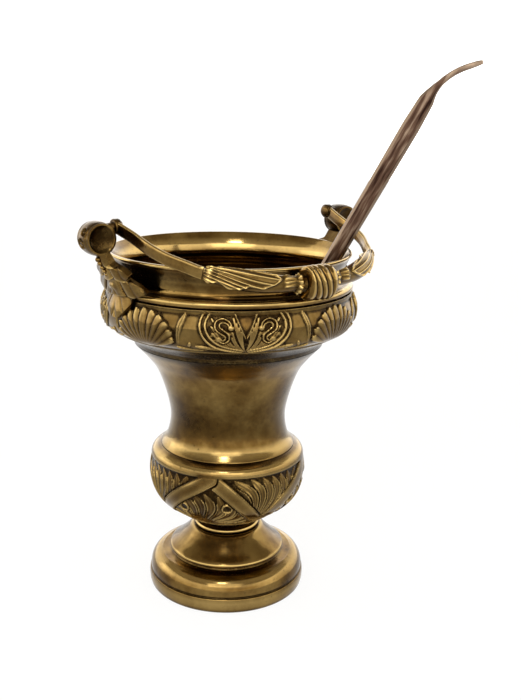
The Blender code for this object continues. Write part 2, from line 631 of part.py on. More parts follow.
def build_arm(name, side, parts, cutters, pivot):
    curve = bail_curve()
    along = np.gradient(curve, axis=0)
    along /= np.linalg.norm(along, axis=1)[:, None]
    last = int(np.argmin(np.abs(curve[:, 0] - GRIP_START * BAIL_HALF_SPAN)))
    bevel = 0.6
    corners = [(-1, -bevel), (-bevel, -1), (bevel, -1), (1, -bevel),
               (1, bevel), (bevel, 1), (-bevel, 1), (-1, bevel)]
    picks = list(range(0, last, 2)) + [last]
    stations = [(curve[k], along[k], STRAP_THICKNESS / 2, STRAP_WIDTH / 2, corners) for k in picks]
    end = curve[last] - SEAM_GAP * along[last]
    stations[-1] = (end, along[last], STRAP_THICKNESS / 2, STRAP_WIDTH / 2, corners)
    arm = loft(name, bail_rings(stations, side), BRASS, parts, pivot)
    boss = rod(name + "_boss", BOSS_RADIUS, (side * BOSS_INNER_FACE, 0, 0),
               (side * BOSS_OUTER_FACE, 0, 0), cutters, pivot)
    hole = rod(name + "_hole", PIN_RADIUS + SEAM_GAP, (side * (BOSS_INNER_FACE - STRAP_WIDTH), 0, 0),
               (side * (BOSS_OUTER_FACE + STRAP_WIDTH), 0, 0), cutters, pivot)
    combine(arm, boss, "UNION")
    combine(arm, hole, "DIFFERENCE")


def build_pin(name, side, parts, pivot):
    """A headed pin, fixed in the arm's boss, that turns in the scroll's bore."""
    head = BOSS_INNER_FACE - SEAM_GAP
    end = SCROLL_INNER_FACE + PIN_BITE
    outline = [(0.0, end), (PIN_RADIUS, end), (PIN_RADIUS, head), (PIN_HEAD_RADIUS, head),
               (0.75 * PIN_HEAD_RADIUS, head - PIN_HEAD_HEIGHT), (0.0, head - PIN_HEAD_HEIGHT)]
    pin = turned(name, outline, DARK_BRASS, parts, pivot, closed=False, steps=TINY_TURN_STEPS)
    pin.rotation_euler = (0, side * math.radians(90), 0)


def build_leaf_grip(name, side, parts, pivot):
    curve = bail_curve()
    along = np.gradient(curve, axis=0)
    along /= np.linalg.norm(along, axis=1)[:, None]
    first = int(np.argmin(np.abs(curve[:, 0] - GRIP_START * BAIL_HALF_SPAN)))
    knot_face = KNOT_LENGTH / 2 + SEAM_GAP
    picks = [k for k in range(first, len(curve), 3) if curve[k][0] > knot_face + STRAP_THICKNESS]
    end = np.array([knot_face, np.interp(knot_face, curve[::-1, 0], curve[::-1, 1])])
    corners = [(math.cos(a), math.sin(a)) for a in np.linspace(0, 2 * math.pi, 12, endpoint=False)]
    start_depth, start_height = STRAP_THICKNESS / 2 + GRIP_STEP, STRAP_WIDTH / 2 + GRIP_STEP
    stations = []
    for k in picks:
        share = 1 - (curve[k][0] - knot_face) / (curve[first][0] - knot_face)
        swell = math.sin(math.pi * min(1.0, share / 0.9) ** 0.55 / 1.35) ** 2
        depth = start_depth + swell * (GRIP_RADIUS - GRIP_FLATNESS - start_depth)
        height = start_height + swell * (GRIP_RADIUS - start_height)
        stations.append((curve[k], along[k], depth, height, corners))
    stations.append((end, np.array([-1.0, 0.0]), GRIP_END_RADIUS, GRIP_END_RADIUS, corners))
    loft(name, bail_rings(stations, side), BRASS, parts, pivot)


def build_knot(parts, pivot):
    half = KNOT_LENGTH / 2
    end = 0.82 * KNOT_RADIUS
    top = [(0.0, half), (0.86 * end, half), (end, 0.84 * half), (0.9 * end, 0.68 * half),
           (KNOT_RADIUS, 0.48 * half), (0.9 * KNOT_RADIUS, 0.24 * half), (KNOT_RADIUS, 0.0)]
    outline = top + [(r, -z) for r, z in top[-2::-1]]
    knot = turned("grip_knot", outline, BRASS, parts, pivot, closed=False, steps=SMALL_TURN_STEPS)
    knot.location = (0, -BAIL_REACH, 0)
    knot.rotation_euler = (0, math.radians(90), 0)
    knot.scale = (KNOT_TALLNESS, 1, 1)


def build_bail(parts, cutters, root):
    pivot = bpy.data.objects.new("bail_pivot", None)
    parts.objects.link(pivot)
    pivot.parent = root
    pivot.location = (0, 0, PIVOT_LEVEL)
    pivot.rotation_euler = (BAIL_DROOP, 0, 0)
    for word, side in (("left", -1), ("right", 1)):
        build_arm(word + "_arm", side, parts, cutters, pivot)
        build_pin(word + "_pivot_pin", side, parts, pivot)
        build_leaf_grip(word + "_leaf_grip", side, parts, pivot)
    build_knot(parts, pivot)


def ball_rest_level():
    """Lowest level of the ball's middle that leaves one gap to the facets of the bowl's inner face."""
    corners = np.array(lower_bowl_inner_face()[1:] + [(0.0, FLOOR_LEVEL)])
    shares = np.linspace(0.0, len(corners) - 1.0, 40 * len(corners))
    order = np.arange(len(corners))
    radii = math.cos(math.pi / TURN_STEPS) * np.interp(shares, order, corners[:, 0])
    levels = np.interp(shares, order, corners[:, 1])
    reach = BALL_RADIUS + SEAM_GAP
    apart = np.abs(radii - HEAD_OFFSET)
    near = apart < reach
    return float(np.max(levels[near] + np.sqrt(reach ** 2 - apart[near] ** 2)))


def sprinkler_lean():
    """The ball's middle, and the angle and azimuth at which the handle first meets the mouth."""
    head = Vector((HEAD_OFFSET * math.cos(HEAD_AZIMUTH), HEAD_OFFSET * math.sin(HEAD_AZIMUTH),
                   ball_rest_level()))
    mouth = inside(neck_throat(), VESSEL_WALL) + [(RIM_RADIUS - LIP_THICKNESS, RIM_LEVEL)]
    facet = math.cos(math.pi / TURN_STEPS)
    tilt = 0.0
    for _ in range(8):
        lines = []
        for radius, level in mouth:
            reach = facet * radius - 2 * SEAM_GAP - 0.5 * HANDLE_WIDTH * OCTAGON / math.cos(tilt)
            touch = Vector((reach * math.cos(LEAN_AZIMUTH), reach * math.sin(LEAN_AZIMUTH), level))
            lines.append(touch - head)
        line = min(lines, key=lambda way: math.hypot(way.x, way.y) / way.z)
        tilt = math.atan2(math.hypot(line.x, line.y), line.z)
    return head, tilt, math.atan2(line.y, line.x)


def build_head(parts, cutters, seat):
    outer, inner = BALL_RADIUS, BALL_RADIUS - BALL_WALL
    quarter = np.linspace(0.0, math.radians(90), 8)
    neck_turn = math.asin(HEAD_SPIGOT_RADIUS / outer)
    cap_turns = np.linspace(neck_turn, math.radians(90), 7)
    bore = HEAD_SPIGOT_RADIUS - BALL_WALL
    cap = [(bore, outer + HEAD_SPIGOT_LENGTH), (HEAD_SPIGOT_RADIUS, outer + HEAD_SPIGOT_LENGTH)]
    cap += [(outer * math.sin(a), outer * math.cos(a) + SEAM_GAP) for a in cap_turns]
    cap += [(inner * math.sin(a), inner * math.cos(a) + SEAM_GAP) for a in cap_turns[::-1][:-1]]
    cap += [(bore, math.sqrt(inner ** 2 - bore ** 2) + SEAM_GAP)]
    turned("head_cap", cap, DARK_BRASS, parts, seat, steps=SMALL_TURN_STEPS)
    lap_outer = inner - SEAM_GAP
    lap_inner = lap_outer - 0.4 * BALL_WALL
    bowl = [(lap_inner, BALL_LAP), (lap_outer, BALL_LAP), (lap_outer, 0.0)]
    bowl += [(outer * math.cos(a), -outer * math.sin(a)) for a in quarter[:-1]] + [(0.0, -outer)]
    bowl += [(0.0, -inner)] + [(inner * math.cos(a), -inner * math.sin(a)) for a in quarter[-2:0:-1]]
    bowl += [(lap_inner, -0.12 * inner)]
    shell = turned("head_bowl", bowl, DARK_BRASS, parts, seat, steps=SMALL_TURN_STEPS)
    rows = [(math.radians(90), 1), (math.radians(52), 6)]
    for drop, count in rows:
        for k in range(count):
            turn = 2 * math.pi * k / count
            out = math.cos(drop)
            way = Vector((out * math.cos(turn), out * math.sin(turn), -math.sin(drop)))
            hole = rod(f"head_hole_{count}_{k}", BALL_HOLE_RADIUS, way * (inner - BALL_WALL),
                       way * (outer + BALL_WALL), cutters, seat, sides=8)
            combine(shell, hole, "DIFFERENCE")
    core = lap_inner - SEAM_GAP
    ball = [(core * math.sin(a), core * math.cos(a)) for a in np.linspace(0.0, math.pi, 9)]
    ball[0], ball[-1] = (0.0, core), (0.0, -core)
    turned("sprinkler_sponge", ball, SPONGE, parts, seat, closed=False, steps=TINY_TURN_STEPS)


def build_ferrule(parts, seat):
    low, high = FERRULE_BASE, FERRULE_BASE + FERRULE_LENGTH
    spigot = HEAD_SPIGOT_RADIUS + SEAM_GAP
    socket = HANDLE_TENON_RADIUS + SEAM_GAP
    spigot_top = BALL_RADIUS + HEAD_SPIGOT_LENGTH + SEAM_GAP
    socket_low = high - SOCKET_DEPTH - SEAM_GAP
    seat_radii = np.linspace(FERRULE_RADIUS, spigot, 4)
    ball_seat = [(r, math.sqrt(BALL_RADIUS ** 2 - r ** 2) + 2 * SEAM_GAP) for r in seat_radii]
    outline = [(socket, high), (0.86 * FERRULE_RADIUS, high),
               (0.92 * FERRULE_RADIUS, high - 0.5 * FERRULE_BEAD),
               (0.86 * FERRULE_RADIUS, high - FERRULE_BEAD),
               (0.80 * FERRULE_RADIUS, low + 0.45 * FERRULE_LENGTH),
               (0.86 * FERRULE_RADIUS, low + 1.5 * FERRULE_BEAD), (FERRULE_RADIUS, low + FERRULE_BEAD)]
    outline += ball_seat
    outline += [(spigot, spigot_top), (0.5 * spigot, spigot_top), (0.5 * spigot, socket_low),
                (socket, socket_low)]
    turned("sprinkler_ferrule", outline, DARK_BRASS, parts, seat, steps=SMALL_TURN_STEPS)


def handle_rings():
    """Eight-sided rings up the straight bar and round the flattened curl."""
    corners = [(math.cos(a), math.sin(a)) for a in np.radians(np.arange(22.5, 360, 45))]
    foot = FERRULE_BASE + FERRULE_LENGTH - SOCKET_DEPTH
    shoulder = FERRULE_BASE + FERRULE_LENGTH + SEAM_GAP
    tenon = HANDLE_TENON_RADIUS
    bar, top = HANDLE_WIDTH / 2, HANDLE_TOP_WIDTH / 2
    flat, wide = CURL_THICKNESS / 2, CURL_WIDTH / 2
    stations = [(foot, tenon, tenon), (shoulder, tenon, tenon), (shoulder, bar, bar),
                (shoulder + 0.5 * (HANDLE_LENGTH - shoulder), 1.04 * bar, bar),
                (0.84 * HANDLE_LENGTH, top * 0.97, bar), (0.94 * HANDLE_LENGTH, top, bar * 1.06)]
    rings = []
    for level, half, depth in stations:
        grow = 1.0 if half == tenon else OCTAGON
        rings.append([(grow * half * a, grow * depth * b, level) for a, b in corners])
    shares = [0.0, 0.2, 0.4, 0.6, 0.8, 1.0]
    thickness = [0.86 * top, 0.55 * top, 1.1 * flat, flat, flat, flat]
    tip = [(0.35, flat, wide), (0.75, 0.85 * flat, 0.85 * wide), (1.0, 0.45 * flat, 0.4 * wide)]
    for share, half in zip(shares, thickness):
        turn = share * CURL_ANGLE
        place = (CURL_RADIUS * (1 - math.cos(turn)), HANDLE_LENGTH + CURL_RADIUS * math.sin(turn))
        depth = bar * 1.1 + share * (wide - bar * 1.1)
        rings.append(curl_ring(place, turn, OCTAGON * half, OCTAGON * depth, corners))
    last = place
    for share, half, depth in tip:
        place = (last[0] + share * CURL_TIP * math.sin(CURL_ANGLE),
                 last[1] + share * CURL_TIP * math.cos(CURL_ANGLE))
        rings.append(curl_ring(place, CURL_ANGLE, OCTAGON * half, OCTAGON * depth, corners))
    return rings


def curl_ring(place, turn, half, depth, corners):
    return [(place[0] + half * a * math.cos(turn), depth * b, place[1] - half * a * math.sin(turn))
            for a, b in corners]


def build_sprinkler(parts, cutters, root):
    head, tilt, azimuth = sprinkler_lean()
    seat = bpy.data.objects.new("sprinkler_seat", None)
    parts.objects.link(seat)
    seat.parent = root
    seat.location = head
    seat.rotation_euler = (0, tilt, azimuth)
    build_head(parts, cutters, seat)
    build_ferrule(parts, seat)
    loft("sprinkler_handle", handle_rings(), HANDLE_BRONZE, parts, seat)


def centre_on_origin(parts, root):
    """Moves the root so that the middle of the whole object's box stands over the origin."""
    bpy.context.view_layer.update()
    graph = bpy.context.evaluated_depsgraph_get()
    corners = []
    for obj in parts.objects:
        if obj.type == "MESH":
            seen = obj.evaluated_get(graph)
            corners += [seen.matrix_world @ v.co for v in seen.data.vertices]
    places = np.array(corners)
    middle = (places.min(axis=0) + places.max(axis=0)) / 2
    root.location = (-middle[0], -middle[1], 0)
    bpy.context.view_layer.update()


def main():
    clear_scene()
    parts = make_collection("holy_water_bucket")
    cutters = make_collection("cutters")
    root = bpy.data.objects.new("bucket_root", None)
    parts.objects.link(root)
    frieze = build_vessel(parts, root)
    build_tie_bolt(parts, cutters, root)
    build_lug("left_lug", -1, parts, cutters, root, frieze)
    build_lug("right_lug", 1, parts, cutters, root, frieze)
    build_bail(parts, cutters, root)
    build_sprinkler(parts, cutters, root)
    centre_on_origin(parts, root)


main()
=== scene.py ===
import math

import bmesh
import bpy
import numpy as np
from mathutils import Matrix, Vector


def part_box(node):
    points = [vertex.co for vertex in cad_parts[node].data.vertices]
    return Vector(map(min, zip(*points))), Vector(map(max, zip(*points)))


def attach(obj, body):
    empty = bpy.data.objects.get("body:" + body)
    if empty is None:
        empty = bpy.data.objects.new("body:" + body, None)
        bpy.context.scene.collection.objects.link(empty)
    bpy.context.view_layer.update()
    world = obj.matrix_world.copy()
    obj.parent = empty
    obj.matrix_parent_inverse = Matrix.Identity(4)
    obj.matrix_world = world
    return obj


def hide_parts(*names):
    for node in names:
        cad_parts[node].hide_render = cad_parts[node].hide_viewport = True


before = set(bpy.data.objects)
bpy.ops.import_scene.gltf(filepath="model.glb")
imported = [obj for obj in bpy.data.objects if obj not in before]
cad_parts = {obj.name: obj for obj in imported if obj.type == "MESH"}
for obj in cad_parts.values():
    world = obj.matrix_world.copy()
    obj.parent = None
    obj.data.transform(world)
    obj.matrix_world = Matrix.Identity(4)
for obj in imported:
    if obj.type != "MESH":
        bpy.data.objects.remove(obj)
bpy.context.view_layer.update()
mm = 0.001
fullTurn = 2 * math.pi
sides = (("left", -1), ("right", 1))
footLow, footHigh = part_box("foot_base")
axis = Vector(((footLow.x + footHigh.x) / 2, (footLow.y + footHigh.y) / 2, 0.0))  # the bucket's own axis


def linked(name, data):
    made = bpy.data.objects.new(name, data)
    bpy.context.scene.collection.objects.link(made)
    return made


def spin(degrees, about):
    return Matrix.Rotation(math.radians(degrees), 4, about)


# Camera: place and angles in the photograph's own axes, turned so that the lugs lie along X
camera = dict(place=(0.0, -684.2, 371.9), yaw=2.02, pitch=15.0, roll=-1.17, lens=48.03, lugTurn=36.0)


def fromPhoto(point):
    turn = math.radians(camera["lugTurn"])
    x, y, z = point
    return Vector((x * math.cos(turn) + y * math.sin(turn), y * math.cos(turn) - x * math.sin(turn), z))


def makeCamera():
    yaw, pitch, roll = (math.radians(camera[key]) for key in ("yaw", "pitch", "roll"))
    ahead = Vector((math.sin(yaw) * math.cos(pitch), math.cos(yaw) * math.cos(pitch), -math.sin(pitch)))
    right = Vector((math.cos(yaw), -math.sin(yaw), 0.0))
    down = ahead.cross(right)
    rightRolled = math.cos(roll) * right + math.sin(roll) * down
    downRolled = math.cos(roll) * down - math.sin(roll) * right
    columns = [fromPhoto(rightRolled), -fromPhoto(downRolled), -fromPhoto(ahead)]
    made = linked("photoCamera", bpy.data.cameras.new("photoCamera"))
    turned = Matrix(columns).transposed().to_4x4()
    made.matrix_world = Matrix.Translation(axis + fromPhoto(camera["place"]) * mm) @ turned
    made.data.lens = camera["lens"]
    bpy.context.scene.camera = made


makeCamera()
cameraTurn = math.atan2(*fromPhoto((0, -1, 0)).yx)  # azimuth of the side that faces the camera
print("camera placed")


def linear(hexColour):
    parts = [int(hexColour[i:i + 2], 16) / 255 for i in (1, 3, 5)]
    return [p / 12.92 if p <= 0.04045 else ((p + 0.055) / 1.055) ** 2.4 for p in parts] + [1.0]


def setSockets(tree, node, sockets):
    # a node given as a value is linked by its first output in use
    for key, value in sockets.items():
        if isinstance(value, bpy.types.Node):
            value = next(output for output in value.outputs if output.enabled)
        if isinstance(value, bpy.types.NodeSocket):
            tree.links.new(value, node.inputs[key])
        else:
            node.inputs[key].default_value = value


def addNode(tree, kind, sockets=None, points=(), **settings):
    node = tree.nodes.new("ShaderNode" + kind)
    for key, value in settings.items():
        setattr(node, key, value)
    setSockets(tree, node, sockets or {})
    for _ in points[2:]:
        node.color_ramp.elements.new(0.5)
    for k, (place, colour) in enumerate(points):
        node.color_ramp.elements[k].position = place
        node.color_ramp.elements[k].color = colour
    return node


def newMaterial(name):
    made = bpy.data.materials.new(name)
    made.use_nodes = True
    return made, made.node_tree, made.node_tree.nodes["Principled BSDF"]


white, black = (1, 1, 1, 1), (0, 0, 0, 1)

# Spun and cast brass, once polished and now aged: gold where hands rub it, with painted highlights on rims,
# brown where it has dulled, near black where polish and dirt lie in the hollows, with painted shade and
# painted dark reflections in corners, under the bowls, down the throat and round the waist
agedBrass = dict(polished="#856c3d", dull="#614923", tarnish="#3b2a14", patinaAndShade="#150d06", bright="#bb9f64",
                 cloud=34.0, speck=2.4, grit=0.7, smooth=0.08, rough=0.22, stain=0.85)
# The same metal where no hand rubs it: browner and duller, with less gold
dullBrass = dict(polished="#6b5430", dull="#4c3920", tarnish="#2f2114", patinaAndShade="#1c130a", bright="#8f7443",
                 cloud=14.0, speck=1.8, grit=0.6, smooth=0.28, rough=0.46, stain=0.6)


def brassFinish(name, look):
    made, tree, shader = newMaterial(name)
    place = addNode(tree, "TexCoord").outputs["Object"]
    # The first mark darkens toward the darkest tone: patina in the relief's hollows, with painted shade and
    # painted dark reflections at the listed places. The second lightens toward the bright tone: wear, with
    # painted highlights.
    hollow = addNode(tree, "Attribute", attribute_name="hollow").outputs["Fac"]
    worn = addNode(tree, "Attribute", attribute_name="worn").outputs["Fac"]
    grains = ((look["cloud"], 5.0, 0.62), (look["speck"], 3.0, 0.7), (2.2 * look["cloud"], 2.0, 0.5),
              (look["grit"], 2.0, 0.5))
    cloud, speck, patch, grit = (
        addNode(tree, "TexNoise", {"Vector": place, "Scale": 1 / (size * mm), "Detail": detail,
                                   "Roughness": rough}) for size, detail, rough in grains)
    drift = addNode(tree, "ValToRGB", {"Fac": cloud},
                    points=[(0.36, linear(look["polished"])), (0.55, linear(look["dull"])),
                            (0.70, linear(look["tarnish"]))])
    spots = addNode(tree, "ValToRGB", {"Fac": speck}, points=[(0.60, black), (0.70, white)])
    where = addNode(tree, "ValToRGB", {"Fac": patch}, points=[(0.42, black), (0.62, white)])
    stain = addNode(tree, "Math", {0: spots, 1: where}, operation="MULTIPLY")
    stainPart = addNode(tree, "Math", {0: stain, 1: look["stain"]}, operation="MULTIPLY")
    uneven = addNode(tree, "MapRange", {"Value": speck, "From Min": 0.3, "From Max": 0.6, "To Min": 0.72,
                                        "To Max": 1.0})
    settledAndShade = addNode(tree, "Math", {0: hollow, 1: uneven}, operation="MULTIPLY")
    dirtAndShade = addNode(tree, "Math", {0: settledAndShade, 1: stainPart}, operation="MAXIMUM")
    wearAndHighlight = addNode(tree, "Mix", {"Factor": worn, 6: drift, 7: linear(look["bright"])}, data_type="RGBA")
    tone = addNode(tree, "Mix", {"Factor": dirtAndShade, 6: wearAndHighlight, 7: linear(look["patinaAndShade"])}, data_type="RGBA")
    haze = addNode(tree, "MapRange", {"Value": cloud, "From Min": 0.35, "From Max": 0.7,
                                      "To Min": look["smooth"], "To Max": look["rough"]})
    hazeDirtAndShade = addNode(tree, "Math", {0: dirtAndShade, 1: 0.16, 2: haze}, operation="MULTIPLY_ADD")
    lift = addNode(tree, "Math", {0: spots, 1: -0.5, 2: grit}, operation="MULTIPLY_ADD")
    bump = addNode(tree, "Bump", {"Height": lift, "Strength": 0.05, "Distance": 0.25 * mm})
    setSockets(tree, shader, {"Base Color": tone, "Metallic": 1.0, "Roughness": hazeDirtAndShade, "Normal": bump})
    return made


# The sprinkler leans over by its tilt, then round by its azimuth, in degrees
sprinklerLean = dict(tilt=28.032, azimuth=-45.354)
leanTurn = spin(sprinklerLean["azimuth"], "Z") @ spin(sprinklerLean["tilt"], "Y")

# Rolled bronze bar, browned by handling, with paler streaks drawn out along its length
brownBronze = dict(dark="#231611", brown="#533f33", tan="#887664", streakWide=2.4, streakLong=24.0,
                   rough=0.27, hazy=0.2)


def bronzeFinish(name, look):
    made, tree, shader = newMaterial(name)
    place = addNode(tree, "TexCoord").outputs["Object"]
    wide, long = 1 / (look["streakWide"] * mm), 1 / (look["streakLong"] * mm)
    upright = addNode(tree, "Mapping", {"Vector": place, "Rotation": leanTurn.inverted().to_euler()})
    drawn = addNode(tree, "Mapping", {"Vector": upright, "Scale": (wide, wide, long)})
    streak = addNode(tree, "TexNoise", {"Vector": drawn, "Scale": 1.0, "Detail": 4.0})
    worn = addNode(tree, "Attribute", attribute_name="worn").outputs["Fac"]
    tone = addNode(tree, "ValToRGB", {"Fac": streak},
                   points=[(0.36, linear(look["dark"])), (0.54, linear(look["brown"])),
                           (0.72, linear(look["tan"]))])
    # edges and the curl lean to tan: wear, with painted highlights
    edge = addNode(tree, "Mix", {"Factor": worn, 6: tone, 7: linear(look["tan"])}, data_type="RGBA")
    haze = addNode(tree, "MapRange", {"Value": streak, "To Min": look["rough"],
                                      "To Max": look["rough"] + look["hazy"]})
    bump = addNode(tree, "Bump", {"Height": streak, "Strength": 0.25, "Distance": 0.2 * mm})
    setSockets(tree, shader, {"Base Color": edge, "Metallic": 1.0, "Roughness": haze, "Normal": bump})
    return made


# Plain turned steel with fine tool marks, moulded black rubber, and natural sponge
plainSteel = dict(colour="#8d8d8f", dark="#5c5a57", mark=0.8, rough=0.38, metallic=1.0)
blackRubber = dict(colour="#161616", dark="#0b0b0b", mark=0.6, rough=0.8, metallic=0.0)
yellowSponge = dict(colour="#c2a56d", dark="#7e6236", mark=1.4, rough=0.95, metallic=0.0)


def plainFinish(name, look):
    made, tree, shader = newMaterial(name)
    place = addNode(tree, "TexCoord").outputs["Object"]
    mark = addNode(tree, "TexNoise", {"Vector": place, "Scale": 1 / (look["mark"] * mm), "Detail": 4.0})
    tone = addNode(tree, "ValToRGB", {"Fac": mark},
                   points=[(0.35, linear(look["dark"])), (0.65, linear(look["colour"]))])
    bump = addNode(tree, "Bump", {"Height": mark, "Strength": 0.3, "Distance": 0.2 * mm})
    setSockets(tree, shader, {"Base Color": tone, "Metallic": look["metallic"], "Roughness": look["rough"],
                              "Normal": bump})
    return made


finishes = dict(aged_brass=brassFinish("agedBrass", agedBrass),
                dark_brass=brassFinish("dullBrass", dullBrass),
                handle_bronze=bronzeFinish("brownBronze", brownBronze),
                steel=plainFinish("plainSteel", plainSteel),
                seal_rubber=plainFinish("blackRubber", blackRubber),
                sponge=plainFinish("yellowSponge", yellowSponge))
print("finishes:", len(finishes))


# Mesh helpers. All sizes in the pieces' settings are millimetres
def evenTurns(count):
    return np.linspace(0, fullTurn, count, endpoint=False)


def smoothLine(points, steps=8):
    p = [np.array(q, float) for q in points]
    p = [2 * p[0] - p[1]] + p + [2 * p[-1] - p[-2]]
    line = []
    for a, b, c, d in zip(p, p[1:], p[2:], p[3:]):
        for t in np.arange(steps) / steps:
            line.append(0.5 * (2 * b + (c - a) * t + (2 * a - 5 * b + 4 * c - d) * t ** 2
                               + (3 * b - a - 3 * c + d) * t ** 3))
    return np.array(line + [p[-2]])


def rounded(points, radius, sharpest=14.0, steps=4, closed=True):
    # every corner sharper than the angle gets a small arc
    points = np.array(points, float)
    count = len(points)
    line = []
    for k in range(count):
        here = points[k]
        if not closed and k in (0, count - 1):
            line.append(here)
            continue
        back, ahead = points[k - 1] - here, points[(k + 1) % count] - here
        lengths = np.linalg.norm(back), np.linalg.norm(ahead)
        bend = math.degrees(math.acos(np.clip(-(back @ ahead) / (lengths[0] * lengths[1]), -1, 1)))
        if bend < sharpest:
            line.append(here)
            continue
        cut = min(radius, 0.45 * lengths[0], 0.45 * lengths[1])
        first, last = here + back / lengths[0] * cut, here + ahead / lengths[1] * cut
        for t in np.linspace(0, 1, steps + 1):
            line.append((1 - t) ** 2 * first + 2 * t * (1 - t) * here + t ** 2 * last)
    return np.array(line)


def evenly(line, spacing):
    line = np.array(line, float)
    run = np.concatenate([[0], np.cumsum(np.linalg.norm(np.diff(line, axis=0), axis=1))])
    marks = np.linspace(0, run[-1], max(2, int(run[-1] / spacing) + 1))
    return np.stack([np.interp(marks, run, line[:, k]) for k in range(line.shape[1])], axis=1), marks


def directions(line):
    along = np.gradient(line, axis=0)
    return along / np.linalg.norm(along, axis=1)[:, None]


def tonedPlaces(line, places):
    # the tone that listed places give a profile: darker with the list of dirt and painted shade, brighter
    # with the list of wear and painted highlights. Places are given as (radius, level, reach, depth of tone)
    tone = np.zeros(len(line))
    for radius, level, reach, depth in places:
        gap = np.hypot(line[:, 0] - radius, line[:, 1] - level) / reach
        tone = np.maximum(tone, depth * np.clip(1.25 * (1 - gap), 0, 1))
    return tone[:, None]


def gridMesh(name, points, loopRows=False, **marks):
    # rows of points that each close on themselves, joined into one skin
    rows, columns = points.shape[:2]
    index = np.arange(rows * columns).reshape(rows, columns)
    low = index if loopRows else index[:-1]
    high = np.roll(index, -1, axis=0) if loopRows else index[1:]
    quads = np.stack([low, np.roll(low, -1, axis=1), np.roll(high, -1, axis=1), high], axis=-1).reshape(-1, 4)
    faces = quads.tolist()
    if not loopRows:
        faces += [index[0][::-1].tolist(), index[-1].tolist()]
    flat = points.reshape(-1, 3) * mm
    a, b, c, d = (flat[quads[:, k]] for k in range(4))
    volume = np.einsum("ij,ij->i", a, np.cross(b, c)).sum() + np.einsum("ij,ij->i", a, np.cross(c, d)).sum()
    mesh = bpy.data.meshes.new(name)
    mesh.from_pydata(flat.tolist(), [], faces)
    for key, values in marks.items():
        tones = values.reshape(-1).astype(np.float32)
        mesh.attributes.new(key, "FLOAT", "POINT").data.foreach_set("value", tones)
    if volume < 0:
        mesh.flip_normals()
    return mesh


def turnedMesh(name, profile, turns, loop=True, dirtAndShade=(), wearAndHighlight=()):
    # a profile of (radius, level) turned about Z
    angles = evenTurns(turns)
    profile = np.array(profile, float)
    points = np.empty((len(profile), turns, 3))
    points[:, :, 0] = profile[:, :1] * np.cos(angles)
    points[:, :, 1] = profile[:, :1] * np.sin(angles)
    points[:, :, 2] = profile[:, 1:]
    plain = np.zeros(points.shape[:2])
    return gridMesh(name, points, loop, hollow=tonedPlaces(profile, dirtAndShade) + plain,
                    worn=tonedPlaces(profile, wearAndHighlight) + plain)


def spindleMesh(name, profile, corner, turns):
    # a turned piece whose profile starts and ends on its axis
    return turnedMesh(name, rounded(profile, corner, closed=False), turns, loop=False)


def joined(name, meshes):
    form = bmesh.new()
    for mesh in meshes:
        form.from_mesh(mesh)
    made = bpy.data.meshes.new(name)
    form.to_mesh(made)
    form.free()
    return made


def addPiece(name, mesh, slotName, body, stands, matrix=None, sharp=32.0):
    piece = linked(name, mesh)
    mesh.transform(matrix or Matrix.Translation(axis))  # placed in the mesh, so that its box stays tight
    mesh.materials.clear()
    mesh.materials.append(finishes[slotName])
    mesh.shade_smooth()
    mesh.set_sharp_from_angle(angle=math.radians(sharp))
    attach(piece, body)
    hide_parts(*stands)
    return piece


def addShell(name, node, s, line):
    mesh = turnedMesh(name, rounded(line, s["corner"]), s["turns"], dirtAndShade=s["dirtAndShade"], wearAndHighlight=s["wearAndHighlight"])
    addPiece(name, mesh, "aged_brass", "vessel", [node])


def blurred(values, reach):
    # an even blur, wrapped round the turn and held at the top and bottom edges
    for _ in range(2):
        values = sum(np.roll(values, k, axis=1) for k in range(-reach, reach + 1)) / (2 * reach + 1)
        padded = np.pad(values, ((reach, reach), (0, 0)), mode="edge")
        values = sum(padded[k:k + values.shape[0]] for k in range(2 * reach + 1)) / (2 * reach + 1)
    return values


# Chased relief, drawn as heights over a flattened surface, where u runs round and v runs down
def strokeFrom(u, v, line):
    # how far each place is from a line, and how far along the line that is
    line = np.array(line, float)
    sizes = np.linalg.norm(np.diff(line, axis=0), axis=1)
    starts = np.concatenate([[0], np.cumsum(sizes)])
    nearest, share = np.full(u.shape, 1e6), np.zeros(u.shape)
    for (au, av), (bu, bv), size, start in zip(line, line[1:], sizes, starts):
        t = np.clip(((u - au) * (bu - au) + (v - av) * (bv - av)) / size ** 2, 0, 1)
        gap = np.hypot(u - au - t * (bu - au), v - av - t * (bv - av))
        share = np.where(gap < nearest, (start + t * size) / starts[-1], share)
        nearest = np.minimum(gap, nearest)
    return nearest, share


def bead(gap, half, height):
    return height * np.sqrt(np.clip(1 - (gap / half) ** 2, 0, 1))


def ridge(gap, half):
    return np.exp(-(gap / half) ** 2)


def leaf(u, v, root, tip, half, height, vein=0.0, lean=0.0, blunt=0.86):
    # a swelling lobe that widens from its root to a rounded tip
    du, dv = tip[0] - root[0], tip[1] - root[1]
    size = math.hypot(du, dv)
    t = ((u - root[0]) * du + (v - root[1]) * dv) / size ** 2
    across = ((v - root[1]) * du - (u - root[0]) * dv) / size - lean * size * t * (1 - t)
    inside = np.clip(t, 0, 1)
    close = np.sqrt(np.clip(1 - (np.clip(inside - blunt, 0, 1) / (1 - blunt)) ** 2, 0, 1))
    wide = half * (0.12 + 0.88 * inside ** 0.9) * close
    share = np.abs(across) / np.maximum(wide, 0.01)
    form = height * (0.45 + 0.55 * inside) * np.sqrt(np.clip(1 - share ** 2, 0, 1))
    return np.where((t > 0) & (t < 1) & (share < 1.0), form + vein * ridge(across, 0.38), 0.0)


